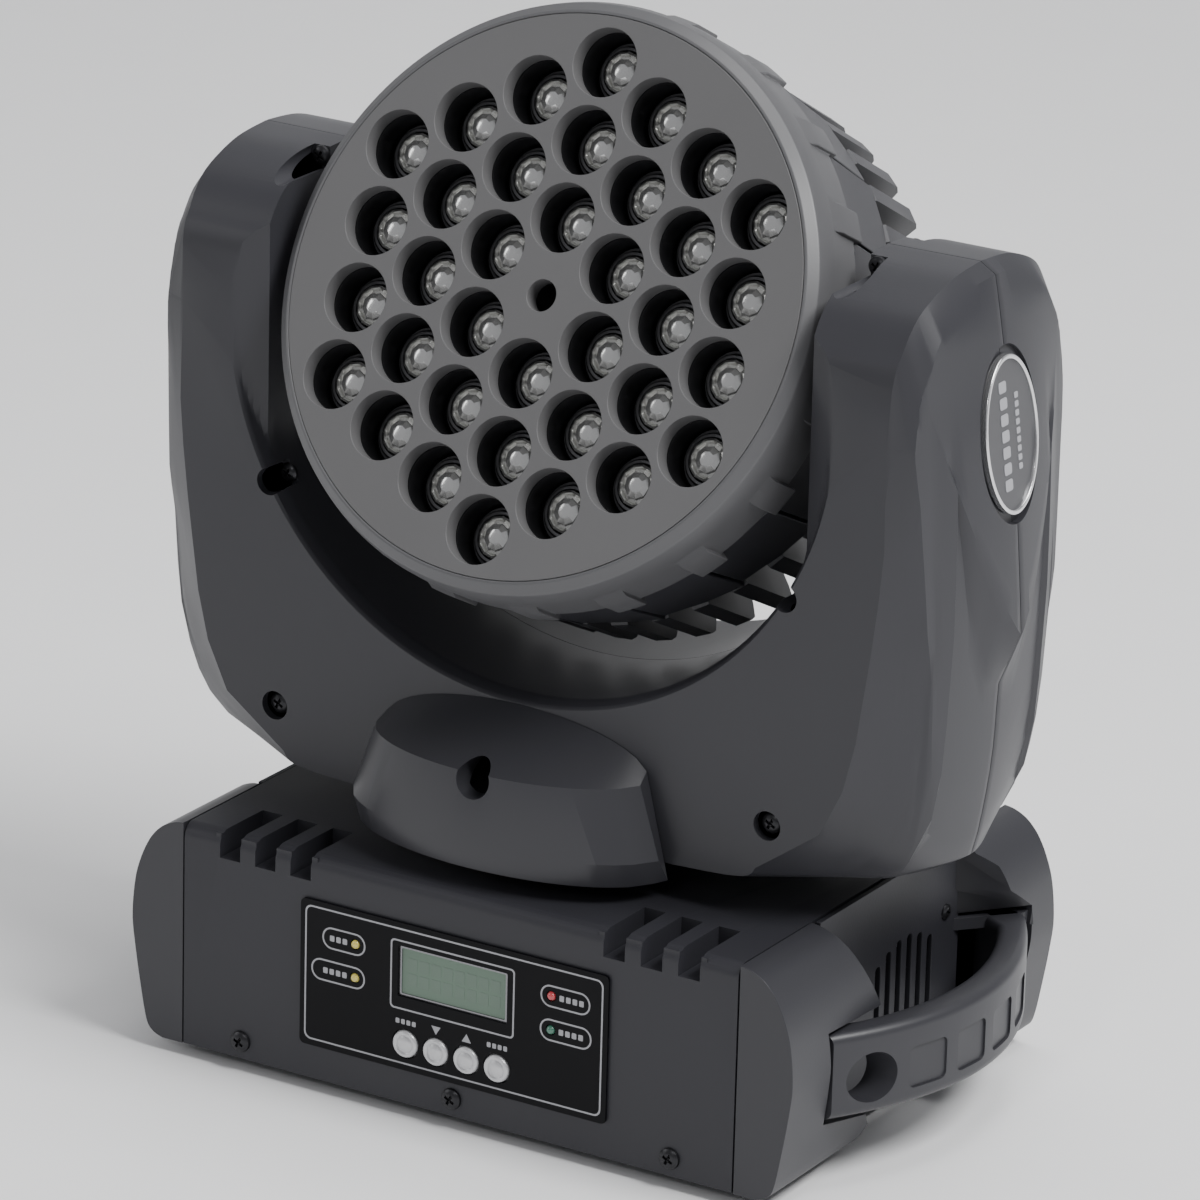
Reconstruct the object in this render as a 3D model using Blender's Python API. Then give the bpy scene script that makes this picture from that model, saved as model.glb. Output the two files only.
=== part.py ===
"""Moving head LED wash light: a base with a control panel, a yoke that pans on it and a head that tilts.

Lengths are in millimetres here and scaled to metres when an object is made.
World frame: the origin is on the floor under the pan axis, +Z up, the control panel faces -Y.
Head frame: the origin is on the tilt axis, the lamp face looks along -Y, and the frame leans back.
"""
import math

import bmesh
import bpy
from mathutils import Matrix, Vector

MM = 0.001
GAP = 0.3                    # clearance left between pieces that meet
SHEET = 1.5                  # thickness of the folded sheet metal

# Base
BASE_BOTTOM = 5.0            # the feet lift the base by this much
BASE_TOP = 87.0
BASE_HALF_WIDTH = 111.5      # seam between sheet metal and moulded corners
BASE_HALF_DEPTH = 90.5
BASE_EDGE_RADIUS = 5.0
SLOT_WIDTH = 8.4
SLOT_XS = (63.0, 77.6, 92.2)
SLOT_LENGTH = 26.0
SLOT_BOTTOM = 77.7
SPINDLE_HOLE_RADIUS = 30.0
FOOT_RADIUS = 10.0
FOOT_XY = (88.0, 66.0)
PAD_HALF_SIZE = (70.0, 50.0)  # flat pad on the underside, where a hanging bracket sits
PAD_BOTTOM = 4.2
BASE_SCREW_XS = (-87.0, 0.0, 87.0)
BASE_SCREW_Z = 11.5

# Moulded corners and handles
CORNER_PROFILE = ((111.8, 4.7), (122.6, 4.7), (128.0, 10.0), (129.9, 24.0), (132.3, 39.0), (133.2, 49.0),
                  (131.8, 64.7), (127.1, 76.0), (120.6, 87.0), (111.8, 87.0))
CORNER_POCKET = ((105.0, 9.0), (117.5, 9.0), (121.5, 24.0), (125.0, 49.0), (123.0, 64.0), (114.5, 83.0),
                 (105.0, 83.0))
CORNER_GAP = ((0.0, -5.0), (37.0, -5.0), (36.0, 3.0), (28.0, 12.0), (31.5, 17.0), (63.0, 24.6), (66.0, 59.2),
              (31.0, 57.6), (43.5, 86.0), (46.0, 95.0), (0.0, 95.0))
CORNER_WALL = 3.2
HORN_REACH_Y = 51.0          # inner end of the slanted hand space in the rear corners
HORN_REACH = ((53.0, 94.0), (83.0, 56.0), (95.0, 52.0))   # height, depth of the slant 36 mm further out
SIDE_PLATE_X = (112.0, 114.0)
SIDE_SLOT_COUNT = 6
SIDE_SLOT_PITCH = 7.2
HANDLE_HALF_LENGTH = 62.4
HANDLE_Z = (26.2, 57.0)
HANDLE_END_X = 134.0         # outer face where the handle meets the corners
HANDLE_BULGE = 14.0
HANDLE_THICKNESS = 12.0
HANDLE_HOLE_Y = 42.6
HANDLE_HOLE_RADIUS = 9.0

# Control panel
PANEL_HALF_WIDTH = 62.0
PANEL_Z = (17.7, 71.6)
PANEL_FRONT_Y = -91.6
DISPLAY_CENTRE_Z = 53.9
DISPLAY_SIZE = (44.0, 18.4)
BUTTON_NAMES = ("button_menu", "button_down", "button_up", "button_enter")
BUTTON_PITCH = 12.3
BUTTON_Z = 27.6
BUTTON_RADIUS = 4.9
LAMP_X = 39.5
LAMP_ZS = (59.2, 46.9)

# Rear sockets, as X and Z of their centres
INLET_XZ = (-75.0, 32.0)
FUSE_XZ = (-35.0, 32.0)
DATA_IN_XZ = (25.0, 34.0)
DATA_OUT_XZ = (65.0, 34.0)

# Pan drive
SPINDLE_RADIUS = 20.0
PAN_PULLEY_RADIUS = 30.0
PINION_RADIUS = 8.0
PAN_BELT_Z = (60.0, 69.0)
PAN_MOTOR_X = 66.0
MOTOR_SIZE = 42.0
BELT_THICKNESS = 1.5

# Yoke
TILT_Z = 263.7
YOKE_HALF_DEPTH = 54.0
YOKE_WALL = 3.2
YOKE_LEVELS = ((-54.0, 0.0), (-52.0, 0.2), (-49.0, 0.6), (-44.0, 1.0), (-36.0, 1.0), (-24.0, 1.0), (-12.0, 1.0))
YOKE_CREST = ((-54.0, 268.0), (-53.4, 280.0), (-51.5, 288.0), (-48.1, 293.0), (-44.8, 298.0), (-39.0, 303.5),
              (-29.2, 308.0), (-16.8, 311.5), (0.0, 313.0))       # y, height of the arms
YOKE_EDGE = ((-50.3, 262.0), (-49.3, 272.0), (-45.2, 283.0), (-41.7, 287.5), (-38.4, 292.5), (-33.7, 297.5),
             (-25.3, 302.8), (-14.2, 307.3), (0.0, 309.4))        # y, z of the line where the side begins
# Rows of the arm's outer side: z, x where the front face ends, x and y of the ridge, x at the seam
YOKE_ROWS = ((100.0, 63.0, 129.0, -27.0, 143.0), (106.0, 95.0, 137.1, -30.0, 147.8),
             (112.0, 105.5, 141.5, -32.0, 149.5), (120.0, 116.4, 144.8, -34.0, 151.0),
             (130.0, 122.9, 147.2, -36.0, 152.6), (145.0, 128.8, 149.6, -38.0, 154.3),
             (162.0, 132.2, 150.9, -38.5, 155.0), (180.0, 134.5, 151.3, -40.0, 156.0),
             (197.0, 136.8, 151.2, -43.7, 156.6), (225.0, 139.4, 149.8, -46.5, 156.8),
             (246.0, 139.0, 148.6, -48.8, 156.4), (262.0, 138.5, 147.3, -50.3, 155.6),
             (284.0, 139.6, 147.3, -44.5, 151.8), (299.0, 140.4, 147.3, -31.0, 149.2),
             (309.4, 141.0, 147.3, 0.0, 147.3), (313.0, 141.3, 147.3, 0.0, 147.3))
YOKE_SIDE_ZS = (280.0, 262.0, 246.0, 225.0, 206.0, 190.0, 180.0, 166.0, 145.0, 130.0, 120.0, 112.0, 106.0)
TONGUE = ((-47.0, 284.0), (-35.0, 251.0), (-24.2, 226.0), (-11.3, 202.0), (0.0, 187.0))   # edge of the raised middle
TONGUE_FOOT = ((-47.0, 283.0), (-38.2, 270.0), (-30.3, 237.7), (-22.5, 196.5), (-10.3, 170.0), (0.0, 168.6))
TONGUE_RISE = 6.6            # how far the raised middle of the side stands out at its tip
MOUTH_RADIUS = 118.5         # front edge of the opening round the head
THROAT_RADIUS = 117.2        # the opening behind that edge
THROAT_HALF_WIDTH = 107.0    # flat inner faces of the arms
SHAFT_RADIUS = 10.0
SHAFT_HOLE_RADIUS = 13.0
YOKE_SCREW_XZ = (99.0, 122.0)
BADGE_HALF_SIZE = (16.0, 30.0)
BADGE_X = (152.6, 154.8)
BADGE_SLOPE = 0.13           # the badges lean in with the arms
BOSS_SCREW_XZ = (102.0, 203.0)
TILT_PULLEY_RADIUS = 28.0
TILT_BELT_X = (126.5, 133.5)
TILT_MOTOR_Z = 158.0
FRAME_OUTLINE = ((-104.0, 110.0), (104.0, 110.0), (124.5, 132.0), (124.5, 290.0), (122.0, 290.0), (122.0, 133.0),
                 (103.0, 112.5), (-103.0, 112.5), (-122.0, 133.0), (-122.0, 290.0), (-124.5, 290.0),
                 (-124.5, 132.0))

# Head, with depths measured forward of the tilt axis
HEAD_TILT = 26.9             # degrees that the face looks up at rest
FACE_DEPTH = 50.0
FACE_RADIUS = 96.9
FACE_THICKNESS = 20.0
BEZEL_RADIUS = 103.0
LENS_PITCH = 27.0
LENS_HOLE_RADIUS = 12.0
CENTRE_HOLE_RADIUS = 5.5
LENS_RADIUS = 8.2
RING_COUNT = 3               # rings of lenses round the centre
FIN_COUNT = 20               # flat panels of the housing; the heat sink has twice as many fins
FIN_RADIUS = 98.0
FIN_REAR = -55.0


# ---------------------------------------------------------------- mesh helpers

def clear_scene():
    for item in list(bpy.data.objects):
        bpy.data.objects.remove(item, do_unlink=True)


def make_material(name, colour, roughness, metallic=0.0, alpha=1.0):
    made = bpy.data.materials.new(name)
    made.use_nodes = True
    shader = made.node_tree.nodes["Principled BSDF"]
    shader.inputs["Base Color"].default_value = (*colour, 1.0)
    shader.inputs["Roughness"].default_value = roughness
    shader.inputs["Metallic"].default_value = metallic
    shader.inputs["Alpha"].default_value = alpha
    made.diffuse_color = (*colour, alpha)
    return made


def loft(rings):
    """Closed solid through rings of equally many points, with flat ends."""
    mesh = bmesh.new()
    loops = [[mesh.verts.new(point) for point in ring] for ring in rings]
    count = len(loops[0])
    for lower, upper in zip(loops, loops[1:]):
        for i in range(count):
            mesh.faces.new((lower[i], lower[(i + 1) % count], upper[(i + 1) % count], upper[i]))
    mesh.faces.new(loops[0])
    mesh.faces.new(loops[-1])
    bmesh.ops.recalc_face_normals(mesh, faces=mesh.faces)
    return mesh


def prism(outline, axis, low, high):
    """Outline of (u, v) points pushed from low to high along X, Y or Z; u and v are the other two axes."""
    def at(point, height):
        values = list(point)
        values.insert("XYZ".index(axis), height)
        return values
    return loft([[at(point, height) for point in outline] for height in (low, high)])


def box(low, high):
    outline = ((low[0], low[1]), (high[0], low[1]), (high[0], high[1]), (low[0], high[1]))
    return prism(outline, "Z", low[2], high[2])


def circle(centre, radius, segments=20, radius_v=None):
    radius_v = radius_v or radius
    turn = 2 * math.pi / segments
    return [(centre[0] + radius * math.cos(i * turn), centre[1] + radius_v * math.sin(i * turn))
            for i in range(segments)]


def rod(axis, centre, radius, low, high, segments=20):
    return prism(circle(centre, radius, segments), axis, low, high)


def turned(profile, axis, centre=(0.0, 0.0), segments=24):
    """Closed profile of (radius, height) points turned about a line along X, Y or Z through centre."""
    mesh = bmesh.new()
    rings = []
    for radius, height in profile:
        ring = []
        for u, v in circle(centre, radius, segments) if radius > 0 else [centre]:
            values = [u, v]
            values.insert("XYZ".index(axis), height)
            ring.append(mesh.verts.new(values))
        rings.append(ring)
    for lower, upper in zip(rings, rings[1:] + rings[:1]):
        for i in range(segments):
            quad = (lower[i % len(lower)], lower[(i + 1) % len(lower)],
                    upper[(i + 1) % len(upper)], upper[i % len(upper)])
            corners = list(dict.fromkeys(quad))
            if len(corners) > 2:
                mesh.faces.new(corners)
    bmesh.ops.recalc_face_normals(mesh, faces=mesh.faces)
    return mesh


def joined(meshes):
    """One mesh from several that stay clear of each other."""
    whole = bmesh.new()
    for mesh in meshes:
        part = bpy.data.meshes.new("part")
        mesh.to_mesh(part)
        mesh.free()
        whole.from_mesh(part)
        bpy.data.meshes.remove(part)
    return whole


def mirrored(mesh, axis):
    scale = [1.0, 1.0, 1.0]
    scale["XYZ".index(axis)] = -1.0
    bmesh.ops.scale(mesh, vec=scale, verts=mesh.verts)
    bmesh.ops.recalc_face_normals(mesh, faces=mesh.faces)
    return mesh


def make_object(name, mesh, material, parent=None, at=(0.0, 0.0, 0.0)):
    """Object with its origin at the point `at` of its parent's frame, which is also where the mesh is drawn."""
    bmesh.ops.translate(mesh, vec=-Vector(at), verts=mesh.verts)
    bmesh.ops.scale(mesh, vec=(MM, MM, MM), verts=mesh.verts)
    data = bpy.data.meshes.new(name)
    mesh.to_mesh(data)
    mesh.free()
    data.materials.append(material)
    data.shade_smooth()
    data.set_sharp_from_angle(angle=math.radians(32))
    made = bpy.data.objects.new(name, data)
    made.location = Vector(at) * MM
    made.parent = parent
    bpy.context.scene.collection.objects.link(made)
    return made


def combine(target, meshes, operation):
    """Cut or add meshes that are drawn in the same frame as the target object's own mesh."""
    whole = joined(meshes)
    bmesh.ops.translate(whole, vec=-target.location / MM, verts=whole.verts)
    bmesh.ops.scale(whole, vec=(MM, MM, MM), verts=whole.verts)
    data = bpy.data.meshes.new("tool")
    whole.to_mesh(data)
    whole.free()
    tool = bpy.data.objects.new("tool", data)
    tool.location = target.location
    tool.parent = target.parent
    bpy.context.scene.collection.objects.link(tool)
    change = target.modifiers.new("combine", "BOOLEAN")
    change.operation = operation
    change.solver = "EXACT"
    change.object = tool
    view = bpy.context.evaluated_depsgraph_get()
    result = bpy.data.meshes.new_from_object(target.evaluated_get(view))
    target.modifiers.remove(change)
    target.data = result
    result.set_sharp_from_angle(angle=math.radians(32))
    bpy.data.objects.remove(tool, do_unlink=True)


def cut(target, *meshes):
    combine(target, meshes, "DIFFERENCE")


def add(target, *meshes):
    combine(target, meshes, "UNION")


# ---------------------------------------------------------------- base

def arch(inset):
    """Front, top and back of the base as (y, z) points, moved inward by inset."""
    wall = BASE_HALF_DEPTH - inset
    top = BASE_TOP - inset
    radius = BASE_EDGE_RADIUS - inset
    turn = [math.radians(angle) for angle in (180, 150, 120, 90)]
    front = [(-wall + radius + radius * math.cos(t), top - radius + radius * math.sin(t)) for t in turn]
    half = [(-wall, BASE_BOTTOM)] + front
    return half + [(-y, z) for y, z in reversed(half)]


def build_base_cover(material):
    outline = arch(0.0) + arch(SHEET)[::-1]
    half = BASE_HALF_WIDTH - GAP
    cover = make_object("base_cover", prism(outline, "X", -half, half), material)
    front = -BASE_HALF_DEPTH
    slots = [box((side * x - SLOT_WIDTH / 2, front - 1, SLOT_BOTTOM),
                 (side * x + SLOT_WIDTH / 2, front + SLOT_LENGTH, BASE_TOP + 1))
             for side in (-1, 1) for x in SLOT_XS]
    display = box((-24.6, front - 1, 42.6), (24.6, front + 3, 65.2))
    buttons = [rod("Y", (x, BUTTON_Z), BUTTON_RADIUS + 0.6, front - 1, front + 3, 12) for x in button_xs()]
    lamps = [rod("Y", (side * LAMP_X, z), 2.1, front - 1, front + 3, 6) for side in (-1, 1) for z in LAMP_ZS]
    screws = [rod("Y", (x, BASE_SCREW_Z), 2.0, front - 1, front + 3, 8) for x in BASE_SCREW_XS]
    back = BASE_HALF_DEPTH
    rear = [box((INLET_XZ[0] - 13.8, back - 3, INLET_XZ[1] - 10), (INLET_XZ[0] + 13.8, back + 1, INLET_XZ[1] + 10)),
            rod("Y", FUSE_XZ, 6.2, back - 3, back + 1, 12),
            rod("Y", DATA_IN_XZ, 12.0, back - 3, back + 1, 12),
            rod("Y", DATA_OUT_XZ, 12.0, back - 3, back + 1, 12)]
    spindle = rod("Z", (0, 0), SPINDLE_HOLE_RADIUS, BASE_TOP - 5, BASE_TOP + 1, 24)
    cut(cover, display, spindle, *slots, *buttons, *lamps, *screws, *rear)


def button_xs():
    return [(i - 1.5) * BUTTON_PITCH for i in range(len(BUTTON_NAMES))]


def build_base_tray(material):
    wall = BASE_HALF_DEPTH - SHEET - GAP
    low = BASE_BOTTOM + 0.2
    outline = ((-wall, low), (wall, low), (wall, 18.0), (wall - SHEET, 18.0), (wall - SHEET, low + SHEET),
               (-wall + SHEET, low + SHEET), (-wall + SHEET, 18.0), (-wall, 18.0))
    half = BASE_HALF_WIDTH - GAP
    tray = make_object("base_tray", prism(outline, "X", -half, half), material)
    add(tray, box((-PAD_HALF_SIZE[0], -PAD_HALF_SIZE[1], PAD_BOTTOM), (PAD_HALF_SIZE[0], PAD_HALF_SIZE[1], low + 1)))
    cut(tray, *[rod("Y", (x, BASE_SCREW_Z), 2.0, -wall - 1, -wall + 3, 8) for x in BASE_SCREW_XS])


def build_base_screws(material):
    for label, x in zip(("left", "middle", "right"), BASE_SCREW_XS):
        front = -BASE_HALF_DEPTH - GAP
        profile = ((0.0, front - 1.7), (2.8, front - 1.5), (3.8, front), (1.6, front), (1.6, front + 7),
                   (0.0, front + 7))
        screw = turned(profile, "Y", (x, BASE_SCREW_Z), 12)
        make_object("base_screw_" + label, screw, material, at=(x, front, BASE_SCREW_Z))


def build_feet(material):
    for front_name, sy in (("front", -1), ("rear", 1)):
        for side_name, sx in (("left", -1), ("right", 1)):
            x, y = sx * FOOT_XY[0], sy * FOOT_XY[1]
            profile = ((0.0, 0.0), (FOOT_RADIUS - 1, 0.0), (FOOT_RADIUS, 1.0), (FOOT_RADIUS, BASE_BOTTOM - 0.1),
                       (0.0, BASE_BOTTOM - 0.1))
            foot = turned(profile, "Z", (x, y), 16)
            make_object("foot_" + front_name + "_" + side_name, foot, material, at=(x, y, 0.0))


def build_side_plate(name, side, material):
    wide, top, bottom = 86.8, 41.6, 29.0
    outline = ((-wide, 9.4), (-bottom, 9.4), (-bottom, 5.4), (bottom, 5.4), (bottom, 9.4), (wide, 9.4),
               (wide, 82.6), (top, 82.6), (top, 86.6), (-top, 86.6), (-top, 82.6), (-wide, 82.6))
    low, high = SIDE_PLATE_X
    plate = prism(outline, "X", low, high)
    if side < 0:
        mirrored(plate, "X")
    plate = make_object(name, plate, material, at=(side * low, 0.0, 0.0))
    slots = []
    for i in range(SIDE_SLOT_COUNT):
        y = SIDE_SLOT_PITCH * i - 0.5
        top = 54.0 + 8.0 * math.sin(math.pi * (i + 0.7) / 6.4)
        low_x, high_x = sorted((side * (low - 1), side * (high + 1)))
        slots.append(box((low_x, y - 1.7, 29.0), (high_x, y + 1.7, top)))
    cut(plate, *slots)


def build_corner(name, sx, sy, material):
    """One moulded corner of the base: a hollow horn, open towards the handle."""
    corner = prism(CORNER_PROFILE, "Y", 20.0, BASE_HALF_DEPTH)
    pocket = prism(CORNER_POCKET, "Y", 10.0, BASE_HALF_DEPTH - CORNER_WALL)
    gap = prism(CORNER_GAP, "X", 100.0, 150.0)
    reach = loft([((114.0, 10.0, z), (150.0, 10.0, z), (150.0, y, z), (114.0, HORN_REACH_Y, z))
                  for z, y in HORN_REACH])
    if sx < 0:
        for mesh in (corner, pocket, gap, reach):
            mirrored(mesh, "X")
    if sy < 0:
        for mesh in (corner, pocket, gap, reach):
            mirrored(mesh, "Y")
    corner = make_object(name, corner, material, at=(sx * BASE_HALF_WIDTH, sy * BASE_HALF_DEPTH, BASE_BOTTOM))
    cut(corner, pocket)
    cut(corner, gap)
    if sy > 0:
        cut(corner, reach)
    else:
        reach.free()


def build_handle(name, side, material):
    """Bowed carry handle on two feet that stand on the side plate."""
    steps = 12
    ys = [HANDLE_HALF_LENGTH * (2 * i / steps - 1) for i in range(steps + 1)]

    def bow(y):
        return HANDLE_END_X + HANDLE_BULGE * (1 - (y / HANDLE_HALF_LENGTH) ** 2)

    outer = [(bow(y), y) for y in ys]
    inner_ys = [50.0 * (1 - 2 * i / steps) for i in range(steps + 1)]
    inner = [(bow(y) - HANDLE_THICKNESS, y) for y in inner_ys]
    foot_x = SIDE_PLATE_X[1] + GAP
    outline = outer + [(foot_x, HANDLE_HALF_LENGTH), (foot_x, 50.0)] + inner
    outline += [(foot_x, -50.0), (foot_x, -HANDLE_HALF_LENGTH)]
    handle = prism(outline, "Z", *HANDLE_Z)
    middle = sum(HANDLE_Z) / 2
    holes = [rod("X", (y, middle), HANDLE_HOLE_RADIUS, bow(y) - 8.0, 160.0, 16)
             for y in (-HANDLE_HOLE_Y, HANDLE_HOLE_Y)]
    if side < 0:
        for mesh in (handle, *holes):
            mirrored(mesh, "X")
    handle = make_object(name, handle, material, at=(side * foot_x, 0.0, middle))
    cut(handle, *holes)


# ---------------------------------------------------------------- control panel and electronics

def build_panel_label(material):
    front, back = PANEL_FRONT_Y, PANEL_FRONT_Y + 0.8
    plate = box((-PANEL_HALF_WIDTH, front, PANEL_Z[0]), (PANEL_HALF_WIDTH, back, PANEL_Z[1]))
    label = make_object("panel_label", plate, material, at=(0.0, front, sum(PANEL_Z) / 2))
    half_x, half_z = DISPLAY_SIZE[0] / 2, DISPLAY_SIZE[1] / 2
    window = box((-half_x, front - 1, DISPLAY_CENTRE_Z - half_z), (half_x, back + 1, DISPLAY_CENTRE_Z + half_z))
    buttons = [rod("Y", (x, BUTTON_Z), BUTTON_RADIUS + 0.4, front - 1, back + 1, 12) for x in button_xs()]
    lamps = [rod("Y", (side * LAMP_X, z), 1.9, front - 1, back + 1, 6) for side in (-1, 1) for z in LAMP_ZS]
    cut(label, window, *buttons, *lamps)


def build_display(material):
    half_x, half_z = DISPLAY_SIZE[0] / 2 + 1.9, DISPLAY_SIZE[1] / 2 + 1.5
    low = (-half_x, -90.4, DISPLAY_CENTRE_Z - half_z)
    high = (half_x, -84.6, DISPLAY_CENTRE_Z + half_z)
    make_object("lcd_display", box(low, high), material, at=(0.0, -90.4, DISPLAY_CENTRE_Z))


def build_buttons(material):
    for name, x in zip(BUTTON_NAMES, button_xs()):
        profile = ((0.0, -93.0), (BUTTON_RADIUS - 0.8, -93.0), (BUTTON_RADIUS, -92.4), (BUTTON_RADIUS, -88.7),
                   (6.0, -88.7), (6.0, -87.6), (3.0, -87.6), (3.0, -86.4), (0.0, -86.4))
        make_object(name, turned(profile, "Y", (x, BUTTON_Z), 12), material, at=(x, -93.0, BUTTON_Z))


def build_control_board(material):
    """Board behind the panel, with the four signal lamps standing on it."""
    board = box((-58.0, -84.2, 19.0), (58.0, -82.6, 71.0))
    board = make_object("control_board", board, material, at=(0.0, -84.2, 45.0))
    lamps = [rod("Y", (side * LAMP_X, z), 1.5, -91.9, -83.5, 6) for side in (-1, 1) for z in LAMP_ZS]
    add(board, *lamps)


def build_power_supply(material):
    supply = box((-106.0, -45.0, 7.1), (-42.0, 68.0, 50.0))
    make_object("power_supply", supply, material, at=(-74.0, 11.5, 7.1))


def build_rear_sockets(black, metal):
    back = BASE_HALF_DEPTH + GAP
    x, z = INLET_XZ
    inlet = make_object("power_inlet", box((x - 24, back, z - 12), (x + 24, back + 2.0, z + 12)), black,
                        at=(x, back, z))
    add(inlet, box((x - 13.4, back - 15, z - 9.6), (x + 13.4, back + 1, z + 9.6)))
    cut(inlet, box((x - 11.0, back - 12, z - 7.5), (x + 11.0, back + 3, z + 7.5)))
    x, z = FUSE_XZ
    profile = ((0.0, back + 2.0), (6.0, back + 2.0), (7.0, back + 1.2), (7.0, back), (5.8, back), (5.8, back - 18),
               (0.0, back - 18))
    make_object("fuse_holder", turned(profile, "Y", (x, z), 16), black, at=(x, back, z))
    for name, (x, z) in (("data_in", DATA_IN_XZ), ("data_out", DATA_OUT_XZ)):
        socket = box((x - 13, back, z - 15.5), (x + 13, back + 2.0, z + 15.5))
        socket = make_object(name, socket, metal, at=(x, back, z))
        add(socket, rod("Y", (x, z), 11.3, back - 18, back + 1, 12))
        cut(socket, rod("Y", (x, z), 8.5, back - 15, back + 3, 12))


# ---------------------------------------------------------------- belt drives

def belt_outline(large, small, reach):
    """Loop round a large wheel at the start and a small one at a distance of reach, as (along, across)."""
    contact = math.acos((large - small) / reach)
    points = []
    for i in range(15):
        angle = contact + (2 * math.pi - 2 * contact) * i / 14
        points.append((large * math.cos(angle), large * math.sin(angle)))
    for i in range(7):
        angle = -contact + 2 * contact * i / 6
        points.append((reach + small * math.cos(angle), small * math.sin(angle)))
    return points


def belt_loops(large, reach):
    outside = belt_outline(large + GAP + BELT_THICKNESS, PINION_RADIUS + GAP + BELT_THICKNESS, reach)
    inside = belt_outline(large + GAP, PINION_RADIUS + GAP, reach)
    return outside, inside


def build_pan_drive(parent, steel, aluminium, rubber, black):
    low, high = PAN_BELT_Z
    profile = ((14.0, 56.0), (SPINDLE_RADIUS, 56.0), (SPINDLE_RADIUS, 88.2), (40.0, 88.2), (40.0, 99.6),
               (SPINDLE_RADIUS, 99.6), (SPINDLE_RADIUS, 109.6), (14.0, 109.6))
    make_object("pan_spindle", turned(profile, "Z"), steel, parent, (0.0, 0.0, 56.0))
    inner = SPINDLE_RADIUS + GAP
    profile = ((inner, low), (PAN_PULLEY_RADIUS, low), (PAN_PULLEY_RADIUS, high), (inner, high))
    make_object("pan_pulley", turned(profile, "Z"), aluminium, parent, (0.0, 0.0, low))
    profile = ((inner, 76.0), (34.0, 76.0), (34.0, 85.2), (inner, 85.2))
    make_object("pan_bearing", turned(profile, "Z"), steel, at=(0.0, 0.0, 76.0))
    half = MOTOR_SIZE / 2
    motor = box((PAN_MOTOR_X - half, -half, 7.1), (PAN_MOTOR_X + half, half, 50.0))
    motor = make_object("pan_motor", motor, black, at=(PAN_MOTOR_X, 0.0, 7.1))
    add(motor, rod("Z", (PAN_MOTOR_X, 0.0), 2.5, 49.0, 71.0, 12))
    profile = ((2.8, low), (PINION_RADIUS, low), (PINION_RADIUS, high), (2.8, high))
    pinion = turned(profile, "Z", (PAN_MOTOR_X, 0.0), 20)
    make_object("pan_motor_pulley", pinion, aluminium, at=(PAN_MOTOR_X, 0.0, low))
    outside, inside = belt_loops(PAN_PULLEY_RADIUS, PAN_MOTOR_X)
    belt = prism(outside, "Z", low + 1, high - 1)
    belt = make_object("pan_belt", belt, rubber, at=(0.0, 0.0, low + 1))
    cut(belt, prism(inside, "Z", low - 1, high + 1))


def build_tilt_drive(parent, aluminium, rubber, black):
    """Motor and belt inside the right arm of the yoke."""
    low, high = TILT_BELT_X
    half = MOTOR_SIZE / 2
    motor = box((90.0, -half, TILT_MOTOR_Z - half), (121.7, half, TILT_MOTOR_Z + half))
    motor = make_object("tilt_motor", motor, black, parent, (90.0, 0.0, TILT_MOTOR_Z))
    add(motor, rod("X", (0.0, TILT_MOTOR_Z), 2.5, 121.0, 135.0, 12))
    profile = ((2.8, low), (PINION_RADIUS, low), (PINION_RADIUS, high), (2.8, high))
    pinion = turned(profile, "X", (0.0, TILT_MOTOR_Z), 20)
    make_object("tilt_motor_pulley", pinion, aluminium, parent, (low, 0.0, TILT_MOTOR_Z))
    loops = belt_loops(TILT_PULLEY_RADIUS, TILT_Z - TILT_MOTOR_Z)
    outside, inside = [[(across, TILT_Z - along) for along, across in loop] for loop in loops]
    belt = prism(outside, "X", low + 1, high - 1)
    belt = make_object("tilt_belt", belt, rubber, parent, (low, 0.0, TILT_Z))
    cut(belt, prism(inside, "X", low - 1, high + 1))


# ---------------------------------------------------------------- yoke

def along(table, at, column=1):
    """Value in a column of a table of rows sorted by their first number, between rows by straight line."""
    if at <= table[0][0]:
        return table[0][column]
    for low, high in zip(table, table[1:]):
        if at <= high[0]:
            share = (at - low[0]) / (high[0] - low[0])
            return low[column] + share * (high[column] - low[column])
    return table[-1][column]


def side_x(y, z):
    """How far out the outer side of an arm stands, for y from the front face to the seam at 0."""
    front_y = along([(height, at) for at, height in YOKE_CREST], z)
    front_x, ridge_x, ridge_y, seam_x = [along(YOKE_ROWS, z, column) for column in (1, 2, 3, 4)]
    if y <= ridge_y:
        return front_x + (ridge_x - front_x) * max(y - front_y, 0.0) / (ridge_y - front_y)
    share = 1 - (y - ridge_y) / (0.01 - ridge_y)
    x = seam_x - (seam_x - ridge_x) * share ** 1.6
    top, foot = along(TONGUE, y), along(TONGUE_FOOT, y)
    rise = TONGUE_RISE * (min(max(270.0 - max(z, top), 0.0), 83.0) / 83.0) ** 1.3
    return x + rise * min(max((z - foot) / (top - foot), 0.0), 1.0)


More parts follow.
